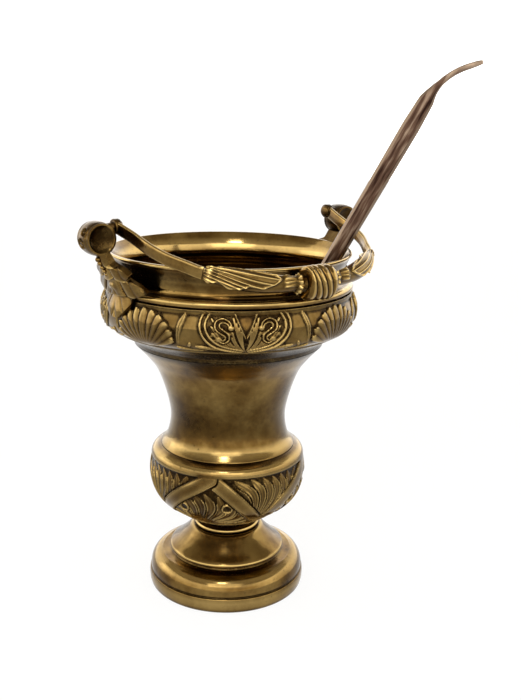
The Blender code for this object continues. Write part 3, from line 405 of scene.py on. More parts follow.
def spray(u, v, root, size, apart, sway, top):
    # blades that spring from one root with a slight S, each with raised edges and a pointed tip
    away = np.hypot(u - root[0], root[1] - v) + 0.001
    step = math.radians(apart)
    place = (np.arctan2(u - root[0], root[1] - v) + sway * np.sin(away / 8.5 + 0.8)) / step
    part = place - np.round(place)
    half = 0.5 * step * away
    gap = np.abs(part) * step * away
    point = 9.0 * np.abs(2 * part) ** 1.4
    form = 0.3 + 0.2 * ridge(gap, 0.5) + 0.85 * ridge(half - 0.9 - gap, 0.5)
    return np.where((away < size - point) & (v > top + 0.8 * point) & (gap < half - 0.3), form, 0.0)


def reliefShell(name, s, outer, rest, ornament, sunk=0.0):
    # an ornament that repeats four times round the outer side of a turned shell. Its middle is given in
    # degrees from the camera's side
    line, marks = evenly(outer, s["spacing"])
    columns = s["turns"] // 4
    turn = (np.arange(columns) / columns - 0.5) * math.pi / 2
    u, v = np.meshgrid(turn, marks)
    fade = np.clip(np.minimum(marks, marks[-1] - marks) / 3.0, 0, 1)[:, None]
    height = np.tile(ornament(u, v), (1, 4)) - sunk * fade
    soft = blurred(height, 4)
    field, fieldTone = s["ground"]  # the sunk field between the forms
    hollow = np.clip((soft - height - 0.04) / 0.22, 0, 1) ** 0.8
    hollow = np.maximum(hollow, fieldTone * np.clip((field - height) / 0.3, 0, 1))
    hollow = np.maximum(hollow, tonedPlaces(line, s["dirtAndShade"]))
    worn = np.maximum(0.75 * np.clip((height - soft) / 0.5, 0, 1), tonedPlaces(line, s["wearAndHighlight"]))
    along = directions(line)
    start = cameraTurn + math.radians(s["middle"])
    angles = start - math.pi / 4 + np.arange(4 * columns) / (4 * columns) * fullTurn
    inner = np.array(rest, float)
    radius = np.vstack([line[:, :1] - height * along[:, 1:], np.repeat(inner[:, :1], 4 * columns, axis=1)])
    level = np.vstack([line[:, 1:] + height * along[:, :1], np.repeat(inner[:, 1:], 4 * columns, axis=1)])
    points = np.stack([radius * np.cos(angles), radius * np.sin(angles), level], axis=-1)
    plain = np.zeros((len(inner), 4 * columns))
    return gridMesh(name, points, True, hollow=np.vstack([hollow, plain]), worn=np.vstack([worn, plain]))


# Pedestal foot: bell, cavetto, ovolo and plain band, hollow below
footBase = dict(
    bell=[(24.6, 47.5), (27.5, 46.9), (32.6, 41.6), (38.1, 36.4), (43.2, 32.4)],
    edge=[(44.3, 31.4), (44.6, 30.2), (44.2, 29.0), (42.9, 28.2)],
    cavetto=[(43.6, 26.9), (46.0, 26.1), (49.4, 25.9), (50.6, 26.0)],
    ovolo=[(51.6, 25.6), (55.2, 24.2), (58.2, 20.8), (59.6, 16.6), (59.9, 13.2)],
    band=[(59.3, 12.2), (59.4, 11.7), (60.6, 11.3), (61.0, 8.0), (60.8, 4.0), (60.0, 1.0), (59.0, 0.0)],
    under=[(54.0, 0.0), (54.0, 9.2), (39.6, 26.0), (27.6, 37.7), (22.5, 43.5), (4.3, 43.5), (4.3, 47.5)],
    corner=0.5, turns=240,
    # The first list darkens the cavetto under the edge, the corner above the band, the join under the stem
    # and the band's foot at the floor, as painted shade with some dirt, and the whole bell, as a painted dark
    # reflection. The second lightens the edge, the ovolo, the band and the top of the bell: wear, with
    # painted highlights.
    dirtAndShade=[(42.9, 28.2, 3.4, 0.95), (59.3, 12.2, 1.8, 0.9), (24.6, 47.5, 2.5, 0.8), (60.0, 0.6, 2.0, 0.7),
          (33.0, 41.0, 18.0, 0.25)],
    wearAndHighlight=[(44.4, 30.4, 2.0, 0.8), (55.2, 24.2, 6.0, 0.4), (60.8, 7.0, 5.0, 0.35), (27.0, 47.0, 2.5, 0.5)])


def makeFoot():
    s = footBase
    addShell("pedestalFoot", "foot_base", s,
             [*smoothLine(s["bell"]), *smoothLine(s["edge"], 4), *smoothLine(s["cavetto"], 4),
              *smoothLine(s["ovolo"], 6), *s["band"], *s["under"]])


# Stem: a hollowed collar over a round ring
stemCollar = dict(
    line=[(4.3, 57.5), (23.0, 57.5), (23.2, 56.8), (20.4, 55.2), (19.5, 53.4), (19.7, 52.0), (23.2, 51.6),
          (24.6, 51.0), (25.4, 49.9), (25.2, 48.6), (24.4, 47.8), (4.3, 47.8)], corner=0.4, turns=160,
    dirtAndShade=[(19.5, 53.4, 3.2, 0.9), (23.2, 57.0, 2.0, 0.8), (24.4, 47.8, 1.8, 0.9)],
    wearAndHighlight=[(25.3, 49.9, 1.8, 0.7)])


def makeStem():
    addShell("stemCollar", "stem_collar", stemCollar, stemCollar["line"])


# Lower bowl: a ribbon in zigzag, a flowing leaf with curled eyes under each arch, flame-like leaves above
# each dip. Flat places are (mm to the right of the arch's middle, mm down from the ledge)
lowerBowl = dict(
    ledge=[(49.3, 116.0), (51.5, 116.0), (53.6, 115.0), (56.2, 113.4), (57.8, 111.8), (58.6, 110.0),
           (58.9, 108.2)],
    swell=[(59.0, 106.7), (60.3, 94.5), (57.7, 81.7), (51.2, 71.8), (37.7, 61.9), (31.0, 57.8)],
    inner=[(4.3, 57.8), (4.3, 60.0), (28.8, 60.0), (37.0, 64.1), (50.0, 73.6), (55.7, 83.0), (58.0, 94.5),
           (55.6, 107.0), (49.6, 112.4)],
    corner=0.4, middle=-17.0, flatRadius=60.0, sunk=1.25, turns=880, spacing=0.62,
    ribbonLeft=[(-47.2, 45.5), (-34, 30.0), (-20, 18.0), (-6, 8.6), (5.2, 1.6)],
    ribbonRight=[(5.2, 1.6), (15, 9.0), (26, 19.5), (36, 31.0), (47.2, 45.5)],
    ribbonHalf=5.6, ribbonHeight=1.4, ribbonUnder=0.15, line=0.35, lineIn=1.1,
    eyes=((-17.5, 28.0), (18.0, 25.5)), eyeRadius=3.7, eyeHalf=0.9, eyeHeight=1.15,
    leafRoot=(0.0, 59.0), leafSize=46.0, leafApart=13.0, leafSway=0.17,
    flameRoot=(0.0, 50.0), flameSize=80.0, flameApart=10.5, flameSway=0.13, flameTop=2.2, hem=54.0,
    ground=(-0.92, 0.95),
    # The first list darkens the whole swell, as a painted dark reflection, and the foot of the bowl, the join
    # under the waist and the corner under the ledge, as painted shade with some dirt. The second lightens the
    # ledge: wear, with a painted highlight.
    dirtAndShade=[(60.0, 90.0, 28.0, 0.34), (31.0, 57.8, 3.0, 0.9), (52.6, 115.6, 2.6, 0.2), (58.6, 108.6, 2.4, 0.4)],
    wearAndHighlight=[(56.6, 113.0, 4.0, 0.6)])


def lowerOrnament(turn, v):
    s = lowerBowl
    u = turn * s["flatRadius"]
    quarter = s["flatRadius"] * math.pi / 4
    ribbon = smoothLine(s["ribbonLeft"]), smoothLine(s["ribbonRight"])
    line = np.vstack([ribbon[0], ribbon[1][1:]])
    below = v > np.interp(u, line[:, 0], line[:, 1])
    height = spray(u, v, s["leafRoot"], s["leafSize"], s["leafApart"], s["leafSway"], 0.0) * below
    for w in (u - quarter, u + quarter):
        flames = spray(w, v, s["flameRoot"], s["flameSize"], s["flameApart"], s["flameSway"], s["flameTop"])
        height = np.where(below, height, np.maximum(height, flames * (np.abs(w) < quarter)))
    for place in s["eyes"]:
        away = np.hypot(u - place[0], v - place[1])
        height = np.where(away < s["eyeRadius"] + 1.6, -0.05, height)
        height = np.maximum(height, bead(np.abs(away - s["eyeRadius"]), s["eyeHalf"], s["eyeHeight"]))
        height = np.where(away < s["eyeRadius"] - 0.8, -0.1, height)
    for k in (1, 0):  # the left strip crosses over the right one
        gap, _ = strokeFrom(u, v, ribbon[k])
        flat = s["ribbonHeight"] * np.clip((s["ribbonHalf"] - gap) / 0.5, 0, 1)
        flat = flat - s["line"] * ridge(gap - s["ribbonHalf"] + s["lineIn"], s["line"]) - s["ribbonUnder"] * k
        height = np.where(gap < s["ribbonHalf"] + 0.7, np.maximum(flat, -0.1), height)
    held = np.clip((v - 0.4) / 1.2, 0, 1) * np.clip((s["hem"] - v) / 2.0, 0, 1)
    return (height - s["sunk"]) * held


def makeLowerBowl():
    s = lowerBowl
    outer = [*rounded(s["ledge"], s["corner"], closed=False), *smoothLine(s["swell"])]
    top = len(evenly(s["ledge"], s["spacing"])[0]) * s["spacing"]
    mesh = reliefShell("lowerBowl", s, outer, s["inner"], lambda turn, run: lowerOrnament(turn, run - top))
    stands = [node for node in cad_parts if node.startswith("lower_bowl")]
    addPiece("lowerBowl", mesh, "aged_brass", "vessel", stands)


# Waist: plain spun trumpet
waistShell = dict(
    face=[(70.9, 197.0), (61.7, 187.0), (54.4, 177.0), (48.6, 162.3), (44.5, 146.2), (44.0, 134.9),
          (46.5, 123.6), (51.3, 116.9)],
    foot=[(51.5, 116.3), (49.0, 116.3), (49.0, 112.3), (47.2, 112.3)],
    inner=[(47.2, 116.8), (44.5, 123.0), (41.8, 134.9), (42.3, 146.2), (46.4, 163.0), (52.4, 178.2),
           (59.8, 188.5), (67.6, 196.9)], corner=0.35, turns=240,
    # The first list darkens the top under the upper bowl, as painted shade, the join at the foot, as painted
    # shade with some dirt, and the middle of the trumpet, as a painted dark reflection. The second lightens
    # the foot's flare: wear, with a painted highlight.
    dirtAndShade=[(70.9, 197.0, 8.0, 0.9), (51.4, 116.5, 2.4, 0.25), (44.0, 147.0, 36.0, 0.5)],
    wearAndHighlight=[(48.0, 120.8, 6.0, 0.6)])


def makeWaist():
    s = waistShell
    addShell("waistShell", "waist_shell", s,
             [*smoothLine(s["face"], 10), *s["foot"], *smoothLine(s["inner"], 6)])


# Upper bowl: a bulging frieze with strapwork cartouches and shells by turns. Flat places are (mm from the
# cartouche's middle, mm down from the top), and the shell's are from its own middle
upperBowl = dict(
    top=[(89.2, 238.5), (91.4, 238.5)],
    face=[(91.5, 238.2), (93.8, 232.7), (95.6, 226.1), (94.7, 217.9), (91.5, 211.9), (84.3, 207.0),
          (76.0, 201.6), (70.9, 197.4)],
    lap=[(66.9, 197.3), (64.1, 193.3), (62.3, 193.3), (65.1, 198.4)],
    inner=[(68.0, 198.8), (82.4, 209.0), (89.6, 213.6), (92.5, 218.4), (93.4, 226.0), (91.6, 232.0),
           (89.2, 237.6)],
    middle=7.0, flatRadius=93.5, sunk=1.4, turns=1320, spacing=0.46, ground=(-1.0, 0.3),
    # This list darkens the top under the neck ring and the underside down to the waist, as painted shade, and
    # the bulge of the frieze, as a painted dark reflection.
    dirtAndShade=[(91.5, 238.4, 2.5, 0.9), (94.5, 226.0, 24.0, 0.36), (82.0, 205.0, 13.0, 0.75),
          (76.0, 201.6, 7.0, 0.95), (70.9, 197.4, 6.0, 0.95)], wearAndHighlight=[],
    strap=[(26.4, 1.2), (28.6, 6.5), (28.4, 12.5), (25.6, 18.5), (20.0, 23.8), (12.0, 27.4), (3.5, 29.6)],
    strapApart=1.75, strapHalf=0.95, strapHeight=1.35, strapClear=1.1,
    curl=[(10.0, 10.6), (11.8, 7.2), (15.5, 5.6), (18.7, 7.2), (18.8, 10.7), (16.0, 13.2), (13.1, 15.4),
          (12.4, 18.4), (15.0, 20.4), (18.0, 18.8)],
    curlApart=1.3, curlHalf=0.8, curlHeight=1.35, curlBoss=2.3, bossHeight=1.5, curlClear=0.4,
    vee=[(0.5, 18.0), (7.4, 1.4)], veeHalf=0.6, veeHeight=1.0, fluteRoot=(0.0, 30.5), fluteHeight=0.95,
    flutes=[(3.2, 13.5), (4.9, 10.5), (6.6, 7.4), (8.4, 4.0), (9.2, 14.0), (9.4, 18.0), (10.8, 21.4),
            (14.0, 23.4), (17.6, 22.6), (20.4, 19.6), (22.0, 15.0), (22.8, 10.0), (22.8, 4.6)],
    leaves=[((46.0, 27.0), (41.0, 1.8), 2.9, 0.26), ((12.0, 31.0), (34.0, 25.6), 2.2, -0.12),
            ((24.0, 32.0), (48.0, 27.6), 2.1, 0.14), ((39.0, 29.5), (37.6, 22.6), 1.7, 0.1),
            ((16.4, 13.4), (23.4, 16.6), 1.7, -0.2), ((15.4, 12.8), (9.6, 15.2), 1.5, 0.2)],
    leafHeight=1.2, leafVein=-0.6, shellRoot=(0.0, 33.0), shellHub=31.5, shellStep=13.0, shellHeight=1.5,
    shellRibs=[(29.8, 3.4), (29.8, 3.5), (29.4, 3.6), (28.6, 3.6), (27.2, 3.5), (25.0, 3.3)],
    hem=36.2, hemHalf=0.7, hemHeight=0.6)


def upperOrnament(turn, v):
    s = upperBowl
    u = np.abs(turn) * s["flatRadius"]
    w = s["flatRadius"] * math.pi / 4 - u
    height = np.zeros(u.shape)
    strapGap, _ = strokeFrom(u, v, smoothLine(s["strap"]))
    within = u < np.interp(v, [p[1] for p in s["strap"]], [p[0] for p in s["strap"]])
    root = s["fluteRoot"]
    for tip in s["flutes"]:
        gap, share = strokeFrom(u, v, smoothLine([root, (0.66 * tip[0], 0.5 * (tip[1] + root[1])), tip]))
        height = np.maximum(height, bead(gap, 0.45 + 0.55 * share, s["fluteHeight"]) * within)
    gap, _ = strokeFrom(u, v, s["vee"])
    height = np.maximum(height, bead(gap, s["veeHalf"], s["veeHeight"]))
    gap, share = strokeFrom(u, v, smoothLine(s["curl"]))
    apart = s["curlApart"] * (0.55 + 0.6 * np.sin(math.pi * share))
    height = np.where(gap < apart + s["curlHalf"] + s["curlClear"], -0.1, height)
    height = np.maximum(height, bead(np.abs(gap - apart), s["curlHalf"], s["curlHeight"]))
    for place in (s["curl"][0], s["curl"][-1]):  # each end is rolled up into a boss
        away = np.hypot(u - place[0], v - place[1])
        height = np.maximum(height, bead(away, s["curlBoss"], s["bossHeight"]))
    height = np.where(strapGap < s["strapApart"] + s["strapClear"], 0.0, height)
    height = np.maximum(height, bead(np.abs(strapGap - s["strapApart"]), s["strapHalf"], s["strapHeight"]))
    for root, tip, half, lean in s["leaves"]:
        form = leaf(u, v, root, tip, half, s["leafHeight"], vein=s["leafVein"], lean=lean, blunt=0.45)
        height = np.maximum(height, form)
    for k, (size, half) in enumerate(s["shellRibs"]):
        angle = math.radians(k * s["shellStep"])
        tip = (1.08 * size * math.sin(angle), s["shellHub"] - size * math.cos(angle))
        height = np.maximum(height, leaf(w, v, s["shellRoot"], tip, half, s["shellHeight"], lean=0.14))
    height = np.maximum(height, bead(np.abs(v - s["hem"]), s["hemHalf"], s["hemHeight"]))
    return height * np.clip((v - 0.8) / 0.8, 0, 1)


def makeUpperBowl():
    s = upperBowl
    rest = [*s["lap"], *smoothLine(s["inner"], 4), *s["top"]]
    mesh = reliefShell("upperBowl", s, smoothLine(s["face"]), rest, upperOrnament, s["sunk"])
    addPiece("upperBowl", mesh, "aged_brass", "vessel", ["upper_bowl"])


# Neck: concave throat with a turned-out lip above and a half-round ring below
neckRim = dict(
    lip=[(88.0, 266.0), (89.3, 266.0), (90.0, 265.4), (90.0, 264.4), (89.4, 263.5)],
    throat=[(88.6, 262.6), (86.9, 259.0), (85.1, 255.2), (83.8, 251.2), (83.4, 248.0), (84.6, 245.5),
            (87.0, 244.6)],
    ring=[(88.2, 244.5), (88.5, 244.3), (90.4, 243.9), (91.4, 242.6), (91.5, 241.0), (90.7, 239.5),
          (89.6, 238.8)],
    lap=[(88.9, 238.8), (88.9, 234.8), (87.1, 234.8), (87.1, 239.0)],
    inner=[(85.6, 241.8), (82.8, 245.6), (81.2, 249.0), (81.0, 252.2), (82.1, 256.6), (84.2, 260.4),
           (86.6, 264.0)], corner=0.35, turns=260,
    # The first list darkens the corners either side of the ring, as painted shade with some dirt, and the
    # throat, as painted shade and a painted dark reflection. The second lightens the ring and the lip, as
    # wear with painted highlights, and the inner wall, as a painted reflection.
    dirtAndShade=[(87.4, 244.6, 2.2, 0.6), (89.4, 238.9, 2.2, 0.8), (89.1, 259.6, 4.6, 0.9), (87.6, 255.8, 4.6, 1.0),
          (86.7, 252.2, 4.6, 0.9)],
    wearAndHighlight=[(90.2, 243.7, 3.0, 1.0), (89.8, 265.2, 2.0, 0.9), (80.6, 258.0, 6.0, 0.8)])


def makeNeck():
    s = neckRim
    addShell("neckRim", "neck_rim", s, [*s["lip"], *smoothLine(s["throat"], 6), *smoothLine(s["ring"], 4),
                                        *s["lap"], *smoothLine(s["inner"], 6)])


makeFoot()
makeStem()
makeLowerBowl()
makeWaist()
makeUpperBowl()
makeNeck()
print("vessel turned and chased")


# Tie bolt, seal, washer and nut through the foot, below the water
boltSet = dict(
    bolt=[(0.0, 67.3), (2.4, 67.1), (4.8, 66.4), (7.0, 65.2), (8.5, 63.6), (9.0, 62.5), (8.6, 62.2),
          (4.0, 62.2), (4.0, 32.0), (3.2, 31.2), (0.0, 31.2)], turns=64, corner=0.35, bore=4.3, nutEdge=0.5)


def makeBolts():
    s = boltSet
    low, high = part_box("tie_bolt")
    top, bottom = s["bolt"][0][1], s["bolt"][-1][1]
    scale = (high.z - low.z) / mm
    line = [(r, low.z / mm + (z - bottom) / (top - bottom) * scale) for r, z in s["bolt"]]
    bolt = spindleMesh("tieBolt", line, s["corner"], s["turns"])
    addPiece("tieBolt", bolt, "dark_brass", "vessel", ["tie_bolt"])
    flatRings = ("bowlSeal", "bowl_seal", "seal_rubber"), ("footWasher", "foot_washer", "steel")
    for name, node, slotName in flatRings:
        low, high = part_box(node)
        radius, under, over = (high.x - low.x) / 2 / mm, low.z / mm, high.z / mm
        line = [(s["bore"], over), (radius, over), (radius, under), (s["bore"], under)]
        addPiece(name, turnedMesh(name, rounded(line, s["corner"]), s["turns"]), slotName, "vessel", [node])
    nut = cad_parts["foot_nut"]
    nut.data.materials.clear()
    nut.data.materials.append(finishes["steel"])
    edge = nut.modifiers.new("wornEdge", "BEVEL")
    edge.width, edge.segments, edge.limit_method = s["nutEdge"] * mm, 2, "ANGLE"


# Lugs: a leaf on the frieze, two pairs of side lobes, a stalk with pearls up its back, and a rolled scroll.
# Stations up the leaf are (reach of its back, level, half width, thickness)
lug = dict(
    stations=[(96.3, 226.0, 4.9, 2.6), (94.9, 231.2, 11.1, 3.8), (93.0, 236.1, 15.5, 4.9),
              (91.9, 240.7, 16.0, 5.6), (91.8, 243.5, 24.0, 6.1), (92.5, 247.8, 31.5, 6.6),
              (93.7, 252.1, 26.0, 7.1), (94.9, 255.5, 17.0, 7.7), (96.4, 259.0, 21.2, 8.0),
              (98.1, 262.4, 17.5, 8.5), (100.0, 265.9, 7.8, 8.5), (103.2, 272.2, 6.6, 8.5)],
    bands=(222.0, 241.0, 254.6, 264.4, 274.0), lobe=19.0, lobeFrom=250.0, lobeHang=2.2, thin=1.2,
    rows=190, front=81, back=14, swellLevel=249.5, swell=1.6, swellTall=2.6, swellHalf=3.6,
    pearls=6, pearlSmall=1.2, pearlLarge=2.0, pearlFrom=256.0, pearlRun=14.0,
    reach=109.0, level=281.0, radius=11.6, half=7.25, endRadius=10.7, dish=8.9, grooveDeep=0.45,
    barrelRows=61, barrelTurns=168,
    eyes=((26.0, -1.6, 2.1), (-16.0, 0.8, 3.0)), eyeDeep=1.9, shank=1.6, rivetTurns=40)


def lugPath():
    s = lug
    base = np.array(s["stations"])
    level = np.linspace(base[0, 1], base[-1, 1], s["rows"])
    path = np.stack([np.interp(level, base[:, 1], base[:, k]) for k in range(4)], axis=1)
    for k, reach in ((0, 9), (2, 3), (3, 9)):
        ends = np.pad(path[:, k], reach, mode="reflect", reflect_type="odd")
        path[:, k] = np.convolve(ends, np.ones(2 * reach + 1) / (2 * reach + 1), mode="valid")
    return path, directions(path[:, :2])


def lugLeaf(side):
    s = lug
    path, along = lugPath()
    base, level, half, thick = (path[:, k:k + 1] for k in range(4))
    t = np.linspace(-1, 1, s["front"])[None, :] + 0 * level
    away = np.abs(t) * half
    lobe = np.mod((away + 0.5 * (level - s["lobeFrom"])) / s["lobe"] + 0.5, 1) - 0.5
    hung = level - s["lobeHang"] * (2 * lobe) ** 2  # a band is a row of round lobes over the one below
    step = np.zeros(t.shape)
    for first, last in zip(s["bands"], s["bands"][1:]):
        step = np.where((hung >= first) & (hung < last), (hung - first) / (last - first), step)
    height = thick * (1 - 0.36 * step ** 1.2) * (1 - 0.36 * t ** 2)
    height = height * (0.66 + 0.34 * (1 - np.abs(2 * lobe) ** 6)) - 0.35 * ridge(lobe, 0.05)
    swell = s["swell"] * ridge(level - s["swellLevel"], s["swellTall"]) * ridge(away, s["swellHalf"])
    height = np.maximum(height + swell, s["thin"])
    soft = blurred(np.pad(height, ((0, 0), (8, 8)), mode="edge"), 3)[:, 8:-8]
    hollow = np.clip(0.28 + 0.85 * (soft - height - 0.1) / 0.6, 0.28, 0.95)
    worn = 0.8 * np.clip((height - soft) / 0.55, 0, 1)
    turn = t * half / base
    reach = base + height * along[:, 1:]
    high = level - height * along[:, :1]
    front = np.stack([side * reach * np.cos(turn), reach * np.sin(turn), high], axis=-1)
    turn = np.linspace(1, -1, s["back"])[None, :] * half / base
    back = np.stack([side * base * np.cos(turn), base * np.sin(turn), level + 0 * turn], axis=-1)
    plain = np.full((len(path), s["back"]), 0.6)
    return gridMesh("lugLeaf", np.concatenate([front, back], axis=1), hollow=np.hstack([hollow, plain]),
                    worn=np.hstack([worn, 0 * plain]))


def lugScroll(side):
    # the barrel lies along Y, with rims at its dished ends and two eyes sunk in its outer face
    s = lug
    y = np.linspace(-s["half"], s["half"], s["barrelRows"])
    angle = evenTurns(s["barrelTurns"])
    angles, across = np.meshgrid(angle, y)
    radius = s["radius"] - (s["radius"] - s["endRadius"]) * (across / s["half"]) ** 2
    radius = radius - s["grooveDeep"] * ridge(np.abs(across) - 0.78 * s["half"], 0.5)
    hollow = np.full(radius.shape, 0.5)
    for turn, place, size in s["eyes"]:
        off = np.mod(angles - math.radians(turn) + math.pi, fullTurn) - math.pi
        away = np.hypot(off * s["radius"], across - place)
        radius = radius - s["eyeDeep"] * np.clip((size + 1.0 - away) / 0.6, 0, 1)
        radius = radius + bead(away, 0.72 * size, 0.8 * size) + 0.35 * ridge(away - size - 1.3, 0.4)
        hollow = np.maximum(hollow, np.clip(1.3 - np.abs(away - 0.85 * size) / 0.7, 0, 1))
    radius = np.minimum(radius, s["radius"])
    dish = [(0.03, 0.62), (0.45 * s["dish"], 0.64), (0.8 * s["dish"], 0.72), (s["dish"], 0.92),
            (s["dish"] + 0.5, 1.0), (s["endRadius"] - 0.4, 1.0)]
    ends = [(r + 0 * angle, s["half"] * k, 0.85 * (r < s["dish"] + 0.1)) for r, k in dish]
    rows = [(r, -place, mark) for r, place, mark in ends]
    rows += [(radius[k], y[k], hollow[k]) for k in range(len(y))]
    rows += ends[::-1]
    points = np.array([np.stack([side * (s["reach"] + r * np.cos(angle)), place + 0 * angle,
                                 s["level"] + r * np.sin(angle)], axis=-1) for r, place, _ in rows])
    dark = np.array([mark + 0 * angle for _, _, mark in rows])
    return gridMesh("lugScroll", points, hollow=dark, worn=0 * dark)


def pearlMesh(place, radius):
    line = [(radius * math.sin(a), radius * math.cos(a)) for a in np.linspace(0.02, math.pi - 0.02, 10)]
    made = turnedMesh("pearl", line, 20, loop=False)
    made.transform(Matrix.Translation(Vector(place) * mm))
    return made


def makeLugs():
    s = lug
    path, along = lugPath()
    for word, side in sides:
        shapes = [lugLeaf(side), lugScroll(side)]
        for share in np.linspace(0, 1, s["pearls"]):
            j = int(np.argmin(np.abs(path[:, 1] - (s["pearlFrom"] + s["pearlRun"] * share))))
            size = s["pearlSmall"] + (s["pearlLarge"] - s["pearlSmall"]) * share
            lift = 0.84 * path[j, 3]
            place = (side * (path[j, 0] + lift * along[j, 1]), 0.0, path[j, 1] - lift * along[j, 0])
            shapes.append(pearlMesh(place, size))
        addPiece(word + "Lug", joined(word + "Lug", shapes), "aged_brass", "vessel", [word + "_lug"])
        for row in ("front", "back"):
            node = f"{word}_lug_{row}_rivet"
            low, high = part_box(node)
            end, head = (high.x - low.x) / mm / 2, (high.z - low.z) / 2 / mm
            line = [(0.0, end), (s["shank"], end), (s["shank"], 1.4 - end), (head, 1.4 - end),
                    (0.93 * head, 1.1 - end), (0.7 * head, 0.5 - end), (0.36 * head, 0.1 - end), (0.0, -end)]
            rivet = spindleMesh("rivet", line, 0.2, s["rivetTurns"])
            addPiece(f"{word}{row.title()}Rivet", rivet, "aged_brass", "vessel", [node],
                     Matrix.Translation((low + high) / 2) @ spin(side * 90, "Y"))


makeBolts()
makeLugs()
print("lugs and fastenings")


# Bail: two strap arms on pins, two leaf grips and a ringed knot, in the bail's own plane. Places along a grip
# are shares of its length from the strap, and leaf angles are degrees round it
bail = dict(
    pivot=288.0, droop=17.8, span=95.2, reach=103.5, gripStart=0.756, spacing=0.45,
    curve=[(1.0, 0.0), (0.966, 0.17), (0.945, 0.355), (0.903, 0.50), (0.83, 0.62), (0.756, 0.73),
           (0.60, 0.84), (0.47, 0.908), (0.336, 0.953), (0.18, 0.984), (0.0, 1.0)],
    strap=[(1.0, 0.0), (0.97, 0.36), (0.88, 0.66), (0.72, 0.88), (0.42, 1.0)], strapThick=1.6, strapWide=4.25,
    bossInner=92.2, bossOuter=97.0, bossRadius=5.2, pinRadius=2.6, pinHead=4.2, pinEnd=111.6, play=0.3,
    gripRadius=8.0, gripEnd=7.0, gripDepth=2.4, gripTall=5.05, gripTurns=224, sunk=1.2, proud=0.9,
    leafMiddle=50.0, leafHalf=96.0, leafEnd=0.74, sprout=(0.76, 0.92), frill=(0.945, 0.02), tip=(0.04, 0.035),
    knotRadius=10.0, knotTall=1.25, knotHalf=11.5, knotSkew=0.5, rings=5, ringDeep=1.5,
    knotRows=111, turns=96)
bailPlace = Matrix.Translation(axis + Vector((0, 0, bail["pivot"] * mm))) @ spin(bail["droop"], "X")


def bailLine():
    line = smoothLine([(u * bail["span"], -w * bail["reach"]) for u, w in bail["curve"]], 16)
    line, _ = evenly(line, bail["spacing"])
    return line, directions(line)


def armMesh(side):
    s = bail
    line, along = bailLine()
    last = int(np.argmax(line[:, 0] < s["gripStart"] * s["span"] + s["play"]))
    quarter = s["strap"]
    corners = quarter + [(-a, b) for a, b in quarter[::-1]]
    corners += [(-a, -b) for a, b in quarter[1:]] + [(a, -b) for a, b in quarter[:0:-1]]
    corners = rounded(corners, 0.05, steps=2)
    rows = []
    for (x, y), (alongX, alongY) in zip(line[:last:2], along[:last:2]):
        rows.append([(side * (x - a * s["strapThick"] * alongY), y + a * s["strapThick"] * alongX,
                      b * s["strapWide"]) for a, b in corners])
    # the lower half of the strap is darkened: painted shade. Its edges are lightened: wear, with painted
    # highlights
    shade = np.array([0.12 if b < -0.3 else 0.0 for a, b in corners])
    edge = np.array([0.5 if abs(b) >= 0.8 else 0.0 for a, b in corners])
    strap = gridMesh("strap", np.array(rows), hollow=np.tile(shade, (len(rows), 1)),
                     worn=np.tile(edge, (len(rows), 1)))
    low, high, r, bore = s["bossInner"], s["bossOuter"], s["bossRadius"], s["pinRadius"] + s["play"]
    line = [(bore, high), (r - 0.5, high), (r, high - 0.6), (r, low + 0.6), (r - 0.5, low), (bore, low)]
    boss = turnedMesh("boss", rounded(line, 0.3), 64, dirtAndShade=[(r, 0.5 * (low + high), 6.0, 0.55)])
    boss.transform(spin(side * 90, "Y"))
    return joined("arm", [strap, boss])


def pinMesh(side):
    s = bail
    start, shank, head = s["bossInner"] - s["play"], s["pinRadius"], s["pinHead"]
    line = [(0.0, s["pinEnd"]), (shank, s["pinEnd"]), (shank, start), (head, start),
            (0.92 * head, start - 0.7), (0.7 * head, start - 1.2), (0.35 * head, start - 1.45),
            (0.0, start - 1.5)]
    made = spindleMesh("pin", line, 0.25, 48)
    made.transform(spin(side * 90, "Y"))
    return made


